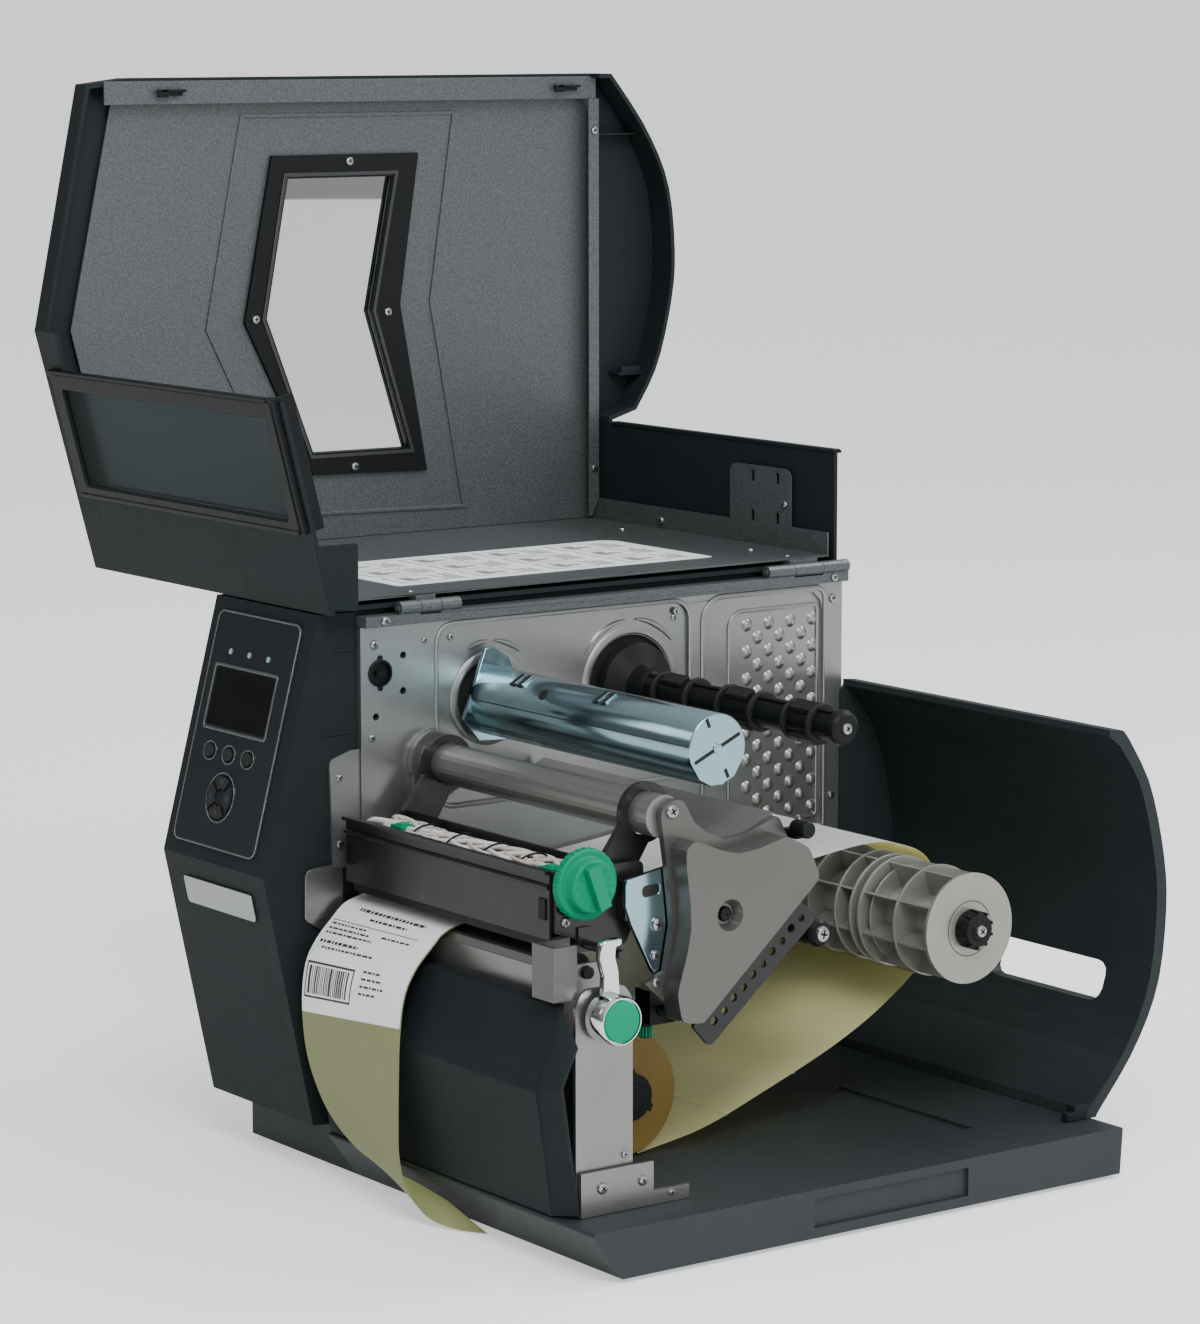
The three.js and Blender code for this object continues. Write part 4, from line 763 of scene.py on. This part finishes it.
bmesh.ops.create_cone(
    slots, cap_ends=True, segments=24, radius1=3.6, radius2=3.6, depth=1,
    matrix=Matrix.Translation((76, hole_y, hole_z)) @ Matrix.Rotation(HOLE_TURN, 4, "X"))
piece("take_up_slots", slots, HOLE_SHADE, "ribbon_take_up", "black_plastic", 0.2)
tabs = bmesh.new()
for x in (44.6, 51.6, 128.6, 135.6):
    box(tabs, x, x + 1.4, -4.6, 4.6, 19.6, 21, TAKE_UP, TAB_TURN)
turned(tabs, [(224.8, 0), (224.8, 3.2), (225.8, 2.9), (226, 0)], TAKE_UP, 24)
piece("take_up_tabs", tabs, ZINC, "ribbon_take_up", "zinc_steel", 0.3)

spindle = bmesh.new()
turned(spindle, [
    (-17.5, 0), (-17.5, 5.9), (0.8, 5.9), (0.8, 26), (3, 27), (7, 26), (10, 20), (13, 14), (18, 11.6),
    (22, 11), (24, 9.4), (203, 9.2), (203, 10.4), (206, 10.8), (209, 10), (210.5, 8), (210.5, 0)], SUPPLY)
for angle in angles(4):
    box(spindle, 24, 202, -1.2, 1.2, 8.4, 10.6, SUPPLY, angle + 0.4)
piece("supply_spindle", spindle, BLACK, "ribbon_supply", "black_plastic", 0.3, hides=("ribbon_supply_hub",))
pads = bmesh.new()
for x in (34, 66, 98, 130, 162, 186):
    turned(pads, [(x, 9.3), (x + 0.4, 12), (x + 1.6, 12.7), (x + 3.2, 12), (x + 3.6, 9.3)], SUPPLY, 40)
for start in (42, 106, 168):
    for angle in angles(3):
        box(pads, start, start + 20, -4.4, 4.4, 8.8, 12.6, SUPPLY, angle + 0.5)
piece("supply_pads", pads, RUBBER, "ribbon_supply", "rubber", 0.6)
screws("supply_screw", "ribbon_supply", [(210.4, *SUPPLY, 3.6)])


# ---- media spindle and rewinder -----------------------------------------------------------
def drum(bm, start, end, discs, core=20):
    """A ribbed core with thin discs, each given as (x, radius, thickness)."""
    turned(bm, [(start, 0), (start, core), (end, core), (end, 0)], MEDIA, 48)
    for x, radius, thick in discs:
        rim = [(x, core - 1), (x, radius), (x + thick, radius), (x + thick, core - 1), (x, core - 1)]
        turned(bm, rim, MEDIA, 72)
    for angle in angles(8):
        box(bm, start + 1, end - 1.4, -0.7, 0.7, core - 1, 33, MEDIA, angle + 0.3)


hub = bmesh.new()
turned(hub, [(-15.5, 0), (-15.5, 7.4), (2.6, 7.4), (2.6, 0)], MEDIA, 32)
drum(hub, 2.6, 160, [(2.6, 33.8, 2.2), (40, 33.6, 1.6), (80, 33.6, 1.6), (118, 33.8, 1.8), (144, 33.8, 1.8),
                     (158, 33.8, 2)])
piece("media_drum", hub, DRUM, "media_spindle", "wall_metal", 0.3, hides=("media_hub",))
guide = bmesh.new()
drum(guide, 166, 230.4, [(166, 33.8, 2), (172, 29, 1.5), (199, 33.8, 2), (228, 33.4, 2.4)], 17)
turned(guide, [(160.6, 0), (160.6, 12), (166.5, 12), (166.5, 0)], MEDIA, 40)
turned(guide, [(230, 14), (230.45, 14.3), (230.45, 15.2), (230, 15.5)], MEDIA, 48)
piece("media_lock", guide, DRUM, "media_spindle", "wall_metal", 0.25, hides=("media_hub_lock",))
cap = bmesh.new()
turned(cap, [(229, 0), (229, 11.2), (231.6, 11.4), (237, 10.8), (239.5, 9.6), (239.5, 6.2), (240.5, 5.6),
             (240.5, 0)], MEDIA, 48)
for angle in angles(10):
    box(cap, 231, 238.6, -1, 1, 10.4, 11.9, MEDIA, angle)
piece("media_cap", cap, BLACK, "media_spindle", "black_plastic", 0.3)
screws("media_cap_screw", "media_spindle", [(240.4, *MEDIA, 3.8)])

roll = bmesh.new()
turned(roll, [
    (4, 14.5), (4, 36.2), (4.6, 36.8), (159.3, 36.8), (159.8, 36.4), (159.8, 34), (160, 30), (159.7, 22),
    (159.9, 17), (159.7, 14.5), (4, 14.5)], ROLL, 96)
piece("wound_liner", roll, AMBER, "rewinder", "amber_liner", hides=("label_roll",))
claw = bmesh.new()
for angle in angles(3):
    box(claw, 160.2, 167.6, -2.4, 2.4, 8, 16.5, ROLL, angle)
turned(claw, [(167.4, 0), (167.4, 9), (169.6, 8.4), (169.6, 0)], ROLL, 32)
piece("rewind_claws", claw, BLACK, "rewinder", "black_plastic", 0.4)


# ---- paper --------------------------------------------------------------------------------
WEB_START = (ROLL[0] + 37.6 * math.cos(-1.3), ROLL[1] + 37.6 * math.sin(-1.3))
WEB_PATH = [
    WEB_START, (-40, 38), (5, 53), (60, 74), (100, 95), (131, 120), (143, 152), (132, 180), (108, 192),
    (83, 194.5), (44, 190.5), (0, 184), (-60, 178), (-120, 173), (-152, 170.7), (-168, 170.4), (-174, 170.4)]


def web_sheet():
    """The liner's sheet, with material 1 on the upper run, where the labels are."""
    path, _ = along(WEB_PATH, 220)
    bm = bmesh.new()
    rows = []
    for x in (4, 56, 108, 160):
        rows.append([bm.verts.new((x, point.x, point.y)) for point in path])
    faces_between(bm, rows, False)
    for face in bm.faces:
        centre = face.calc_center_median()
        face.material_index = 1 if centre.z > 150 and centre.y < 120 else 0
    # The faces have no normals here, so this adds a second side and a rim but no real thickness.
    bmesh.ops.solidify(bm, geom=bm.faces[:], thickness=0.3)
    return bm


piece("web", web_sheet(), WEB_LINER, "chassis", "liner_web", hides=("media_web",), extra=(PAPER,))

# Dark lines in the shaded liner colour along the web's creases: painted shade.
creases = bmesh.new()
for y, z, slope in ((29, 61.2, 0.37), (-22, 43.2, 0.32), (122, 110.6, 0.9)):
    box(creases, 4.2, 159.8, -0.45, 0.45, -0.5, 0.2, (y, z), slope)
piece("web_creases", creases, SHADED_LINER, "chassis", "liner_web")

STRIP_BEND = [(-173.5, 170.3), (-188.6, 166), (-198, 158), (-209.5, 146)]
STRIP_LEFT = [(4, *point) for point in STRIP_BEND] + [
    (4, -217, 132), (4, -219.5, 108), (6, -218, 80), (14, -214.5, 56), (30, -213, 40), (52, -211, 28),
    (74, -207, 22), (98, -202, 18), (124, -197.5, 12)]
STRIP_RIGHT = [(111, *point) for point in STRIP_BEND] + [
    (111, -217, 131), (111, -220.5, 108), (111, -221.5, 84), (111, -222, 60), (111, -221.5, 38),
    (113, -218, 20), (121, -210, 4), (138, -202, -1), (156, -191, -1.6)]
STRIP_STEPS = 200
LEFT_EDGE, LEFT_LONG = along(STRIP_LEFT, STRIP_STEPS)
RIGHT_EDGE, RIGHT_LONG = along(STRIP_RIGHT, STRIP_STEPS)
STRIP_LONG = (LEFT_LONG + RIGHT_LONG) / 2
STRIP_WIDE = 107


def on_strip(down, across, lift=0.0):
    """A point down the strip and across it from its left edge, in mm, lifted off its face."""
    position = min(max(down / STRIP_LONG, 0), 1) * (STRIP_STEPS - 1)
    index = min(int(position), STRIP_STEPS - 2)
    share = position - index
    left, right = (edge[index].lerp(edge[index + 1], share) for edge in (LEFT_EDGE, RIGHT_EDGE))
    heading = LEFT_EDGE[index + 1] - LEFT_EDGE[index] + RIGHT_EDGE[index + 1] - RIGHT_EDGE[index]
    out = heading.cross(right - left).normalized()
    return left.lerp(right, across / STRIP_WIDE) + out * lift


def patch(bm, down0, down1, across0, across1, lift, step=3.0):
    """A part of the strip's face between two distances down it and two across it."""
    rows = []
    count = max(2, int((down1 - down0) / step) + 1)
    wide = max(2, int((across1 - across0) / 12) + 1)
    for i in range(count):
        down = down0 + (down1 - down0) * i / (count - 1)
        spots = [across0 + (across1 - across0) * j / (wide - 1) for j in range(wide)]
        rows.append([bm.verts.new(on_strip(down, across, lift)) for across in spots])
    faces_between(bm, rows, False)


strip = bmesh.new()
patch(strip, 0, STRIP_LONG, 0, STRIP_WIDE, 0)
# As with the web, the second side lies on the first.
bmesh.ops.solidify(strip, geom=strip.faces[:], thickness=0.25)
# The hanging strip takes the shaded liner colour: painted shade.
piece("strip_liner", strip, SHADED_LINER, "chassis", "liner_web", hides=("label_strip",))
face_stock = bmesh.new()
LABEL_END = 84
patch(face_stock, 0, LABEL_END, 0.6, 106, 0.3)
piece("strip_label", face_stock, PAPER, "chassis", "white_label")
printed = bmesh.new()
PRINT_LIFT = 0.4


def words(down, across, end, height=1.3):
    """A line of blocks of random width, like words but with no letters."""
    while across < end:
        width = min(RANDOM.uniform(1.6, 5.2), end - across)
        patch(printed, down, down + height, across, across + width, PRINT_LIFT, 1.5)
        across += width + 1.1


words(16, 20, 88, 2.2)
words(21.5, 36, 74, 1.6)
for row in range(3):
    words(29 + row * 3.2, 5, 40 + 6 * row)
patch(printed, 27, 27.5, 3, 90, PRINT_LIFT)
words(31, 58, 86)
words(41, 5, 44, 1.8)
words(45, 10, 62)
BAR_TOP, BAR_END = 57, 73
FRAME_TOP, FRAME_END = BAR_TOP - 2.4, BAR_END + 2.4
patch(printed, FRAME_TOP, BAR_TOP - 1.2, 3, 52, PRINT_LIFT)
patch(printed, BAR_END + 1.2, FRAME_END, 3, 52, PRINT_LIFT)
patch(printed, FRAME_TOP, FRAME_END, 3, 4.2, PRINT_LIFT)
patch(printed, FRAME_TOP, FRAME_END, 50.8, 52, PRINT_LIFT)
across = 6.0
while across < 48:
    width = RANDOM.choice((0.8, 0.8, 1.2, 1.6, 2.4))
    patch(printed, BAR_TOP, BAR_END, across, across + width, PRINT_LIFT)
    across += width + RANDOM.choice((0.6, 0.8, 1.2))
for row in range(4):
    words(54 + row * 4.4, 60, 78 + 3 * (row % 3))
piece("strip_print", printed, INK, "chassis", "black_plastic")

# ---- print head, knob and latch -----------------------------------------------------------
TRAY_FLOOR = 208.6
wires = bmesh.new()
for strand in range(7):
    run = []
    for k in range(9):
        y = -169 + 10 * math.sin(k * 1.3 + strand * 1.1)
        run.append((16 + k * 23, y, 213.4 + 3.2 * abs(math.sin(k * 0.9 + strand))))
    ends = [(12, run[0][1], TRAY_FLOOR), (205, run[-1][1], TRAY_FLOOR)]
    tube(wires, [ends[0], *run, ends[1]], 1.25 + 0.3 * (strand % 2), 10, 90, strand % 2)
piece("head_wires", wires, PINK, "head", "wire", hides=("head_wiring",), extra=(WHITE,))
clips = bmesh.new()
for x, y in ((42, -176), (196, -178)):
    box(clips, x, x + 12, y - 5, y + 5, 216, 218.4)
    box(clips, x + 3, x + 9, y - 3, y + 3, 218.2, 219.4)
piece("wire_clips", clips, GREEN, "head", "green_plastic", 0.8)
tray = bmesh.new()
box(tray, 10, 214, -188, -152, 207, 209.6)
for k in range(6):
    x = 20 + k * 35
    box(tray, x, x + 18, -164 + 6 * (k % 2), -153, 209.4, 214)
piece("wire_tray", tray, CAST, "head", "cast_metal", 0.5)
ties = bmesh.new()
for k in range(4):
    x = 62 + k * 36
    tube(ties, [(x, -184, 211), (x + 1.5, -176, 218.2), (x + 3, -166, 219.8), (x + 2, -156, 215)], 0.7, 6, 20)
for x in (13, 210):
    box(ties, x - 3.2, x + 3.2, -191.1, -189.6, 191, 203)
tube(ties, [(222, -184, 214), (222, -184, 204), (222, -184, 194), (222, -184, 184)], 3.1, 16, 8)
piece("wire_ties", ties, BLACK, "head", "black_plastic", 0.4)
latch_outline = rounded([
    (-147.5, 211, 4), (-115.5, 216.5, 4), (-109, 200, 8), (-107, 178, 8), (-112, 155, 7), (-121, 150.4, 5),
    (-128.5, 156, 5), (-143.4, 185, 8), (-147.6, 196, 3)])
latch_slot = rounded([(-136, 200, 2.4), (-136, 206, 2.4), (-124, 207, 2.4), (-124, 201, 2.4)])
latch_holes = [latch_slot, oval(-126, 183.5, 2.4, 2.4), oval(-116, 190, 3, 3)]
piece("zinc_latch_plate", plate(latch_outline, 226.6, 229.9, latch_holes, 0.4), ZINC, "head", "zinc_steel")
screws("head_screws", "head", [
    (229.8, -126, 183.5, 4.2), (229.8, -127.4, 166, 3.0), (220, -140, 205, 2.6), (14, -184, 209.6, 3, UP),
    (220, -182, 190, 3),
])

knob = bmesh.new()
turned(knob, [
    (221, 0), (221, 19.4), (221.6, 20.1), (226.6, 20.1), (227.4, 19.2), (227.4, 16.4), (228.4, 15.6),
    (233.2, 15), (234, 14), (234, 0)], KNOB, 96)
for angle in angles(30):
    box(knob, 221.8, 226.4, -0.9, 0.9, 19.4, 20.5, KNOB, angle)
box(knob, 233, 239, -4, 4, -13, 13, KNOB, 0.35)
for k in range(14):
    box(knob, 233.8, 234.5, -0.5, 0.5, 9.6, 13.4, KNOB, 2 * math.pi * (k + 0.5) / 14)
piece("green_knob", knob, GREEN, "leveling_knob_body", "green_plastic", 0.6, hides=("leveling_knob",))

ring = bmesh.new()
turned(ring, [
    (234, 0), (234, 4.7), (246.8, 4.7), (246.8, 9), (248.6, 13.8), (250, 14.4), (261, 14.4), (263, 14),
    (264.3, 13.2), (264.3, 12.6), (263, 12.3), (262.8, 0)], LATCH, 96)
arm = [(-6, 0), (6, 0), (4.4, 26), (2.6, 33, 3), (3, 39.6, 1), (6.6, 41, 1), (6.6, 44.5, 1.2), (-7, 44.5, 4),
       (-8, 34, 6), (-5, 24, 6)]
absorb(ring, plate(rounded(shifted(arm, LATCH)), 249.8, 255.2, (), 0.9))
piece("chrome_lever", ring, CHROME, "latch", "chrome", hides=("latch_lever",))
button = bmesh.new()
turned(button, [
    (263, 0), (263, 11.9), (263.9, 11.9), (264.7, 11.2), (265.2, 9), (265.5, 5), (265.6, 0)], LATCH, 72)
piece("green_button", button, CAP_GREEN, "latch", "green_plastic", hides=("latch_button",))
screws("post_screws", "chassis", [
    (249, -178, 44, 3.4), (249, -150, 44, 3.0), (249, -130, 34, 2.0), (228.6, -178, 60, 2.6),
    (238, -186, 31.6, 2.8, UP), (245.5, -160, 60, 2.4),
])

# ---- casting and small fittings -----------------------------------------------------------
screws("casting_bolt", "chassis", [(244.2, -89.4, 187.5, 4.4)], BLACK)
screws("casting_screws", "chassis", [(235.4, -120, 248, 4.2), (235.4, -131, 152, 2.8), (212, 7, 158, 5.0)])
fitting = bmesh.new()
turned(fitting, [(236, 0), (236, 5), (248, 5), (249, 4.2), (249, 0)], (-32, 229.2), 24)
box(fitting, 226, 240, -35, -28.5, 223, 228)
piece("casting_fitting", fitting, BLACK, "chassis", "black_plastic", 0.6)
clip = bmesh.new()
box(clip, 243, 251.6, 172, 186, 28.6, 38)
box(clip, 246, 251.8, 166, 174, 28.6, 34)
piece("rear_clip", clip, CHARCOAL, "chassis", "charcoal_plastic", 0.8)
rail_knob = bmesh.new()
for angle in angles(12):
    x, y = 203 + 3.6 * math.cos(angle), -114 + 3.6 * math.sin(angle)
    box(rail_knob, x - 0.5, x + 0.5, y - 0.5, y + 0.5, 112.6, 118.6)
piece("sensor_knurl", rail_knob, GREEN, "sensor_slider", "green_plastic", 0.2)

# ---- back and underside -------------------------------------------------------------------
back = bmesh.new()
for x, z, width, height in ((-64, 160, 12, 14), (-44, 158, 16, 18), (-62, 190, 34, 12), (-62, 214, 36, 14)):
    box(back, x + 3, x + width - 3, 183.5, 190.6, z + height / 2 - 1.2, z + height / 2 + 1.2)
piece("port_tongues", back, BLACK, "chassis", "black_plastic", 0.2)
BACK_SCREWS = ((-112, 326), (-14, 326), (-112, 44), (-14, 100), (-112, 185), (-76, 245), (-76, 145))
screws("back_screws", "chassis", [(x, 190, z, 3.0, BACK) for x, z in BACK_SCREWS])
screws("underside_screws", "chassis", [(x, y, 0, 3.2, DOWN) for x in (-70, 90, 230) for y in (-150, 0, 150)])
screws("rear_cover_screws", "chassis", [(x, 184.5, 29.8, 2.6, UP) for x in (40, 230)])

# ---- stage --------------------------------------------------------------------------------
PURE_WHITE = (1, 1, 1, 1)
# How bright the floor and the sky look themselves, and how much light each throws on the object.
FLOOR_SEEN, FLOOR_CAST = 0.6, 0.22
SKY_SEEN = 1.15
SKY_DIM, SKY_BRIGHT = 0.12, 0.95
SKY_SIDE = (0.5, 0.35, 0.79)

stage_bm = bmesh.new()
bmesh.ops.create_circle(stage_bm, cap_ends=True, segments=96, radius=14)
stage_mesh = bpy.data.meshes.new("floor")
stage_bm.to_mesh(stage_mesh)
stage_bm.free()
white = surface("floor_white", (0.86, 0.86, 0.86), 0.7, grain=3, depth=0.01, blotch=0.01, gloss=0.1)
tree = white.node_tree
ray = new_node(tree, "LightPath")
glow = spread(tree, ray.outputs["Is Camera Ray"], FLOOR_CAST, FLOOR_SEEN)
feed(tree, tree.nodes["Principled BSDF"], Emission_Color=PURE_WHITE, Emission_Strength=glow)
stage_mesh.materials.append(white)
floor = new_object("floor", stage_mesh)

world = bpy.data.worlds.new("studio")
bpy.context.scene.world = world
world.use_nodes = True
sky = world.node_tree
facing = new_node(sky, "VectorMath")
facing.operation = "DOT_PRODUCT"
facing.inputs[1].default_value = SKY_SIDE
sky.links.new(new_node(sky, "TexCoord").outputs["Generated"], facing.inputs[0])
level = new_node(sky, "MapRange", From_Min=-0.5, To_Min=SKY_DIM, To_Max=SKY_BRIGHT)
feed(sky, level, Value=facing.outputs["Value"])
lit = feed(sky, sky.nodes["Background"], Color=PURE_WHITE, Strength=level.outputs["Result"])
seen = new_node(sky, "Background", Color=PURE_WHITE, Strength=SKY_SEEN)
choice = new_node(sky, "MixShader", Fac=new_node(sky, "LightPath").outputs["Is Camera Ray"])
sky.links.new(lit.outputs["Background"], choice.inputs[1])
sky.links.new(seen.outputs["Background"], choice.inputs[2])
feed(sky, sky.nodes["World Output"], Surface=choice.outputs["Shader"])


def light(name, where, target, size, watts):
    lamp = bpy.data.lights.new(name, "AREA")
    lamp.shape = "RECTANGLE"
    lamp.size, lamp.size_y = size
    lamp.energy = watts
    obj = new_object(name, lamp)
    obj.location = where
    obj.rotation_euler = (Vector(target) - Vector(where)).to_track_quat("-Z", "Y").to_euler()


light("key", (2.0, -1.1, 2.5), (0, 0, 0.2), (1.3, 1.1), 62)
light("side", (2.6, 0.3, 1.2), (0, 0, 0.25), (0.7, 1.2), 12)
light("fill", (-1.6, -2.4, 1.8), (0, 0, 0.3), (1.0, 1.0), 6)
light("rim", (0.5, 2.2, 2.4), (0, 0, 0.3), (1.6, 1.0), 45)

CAMERA_PLACE = (2112.6, -1533.6, 685.5)
CAMERA_LENS = 116.43
CAMERA_SENSOR = 36
camera_data = bpy.data.cameras.new("photo_view")
camera_data.lens = CAMERA_LENS
camera_data.sensor_width = CAMERA_SENSOR
camera_data.sensor_height = CAMERA_SENSOR
camera_data.sensor_fit = "VERTICAL"
camera_data.clip_end = 60
camera = new_object("photo_view", camera_data)
right = Vector((0.58804902, 0.80882476, -0.0009297))
up = Vector((-0.1196804, 0.08814927, 0.98889145))
behind = Vector((0.79992184, -0.58140538, 0.14863656))
turn = Matrix((right, up, behind)).transposed().to_4x4()
camera.matrix_world = Matrix.Translation(TO_ROW @ Vector(CAMERA_PLACE)) @ turn
bpy.context.scene.camera = camera
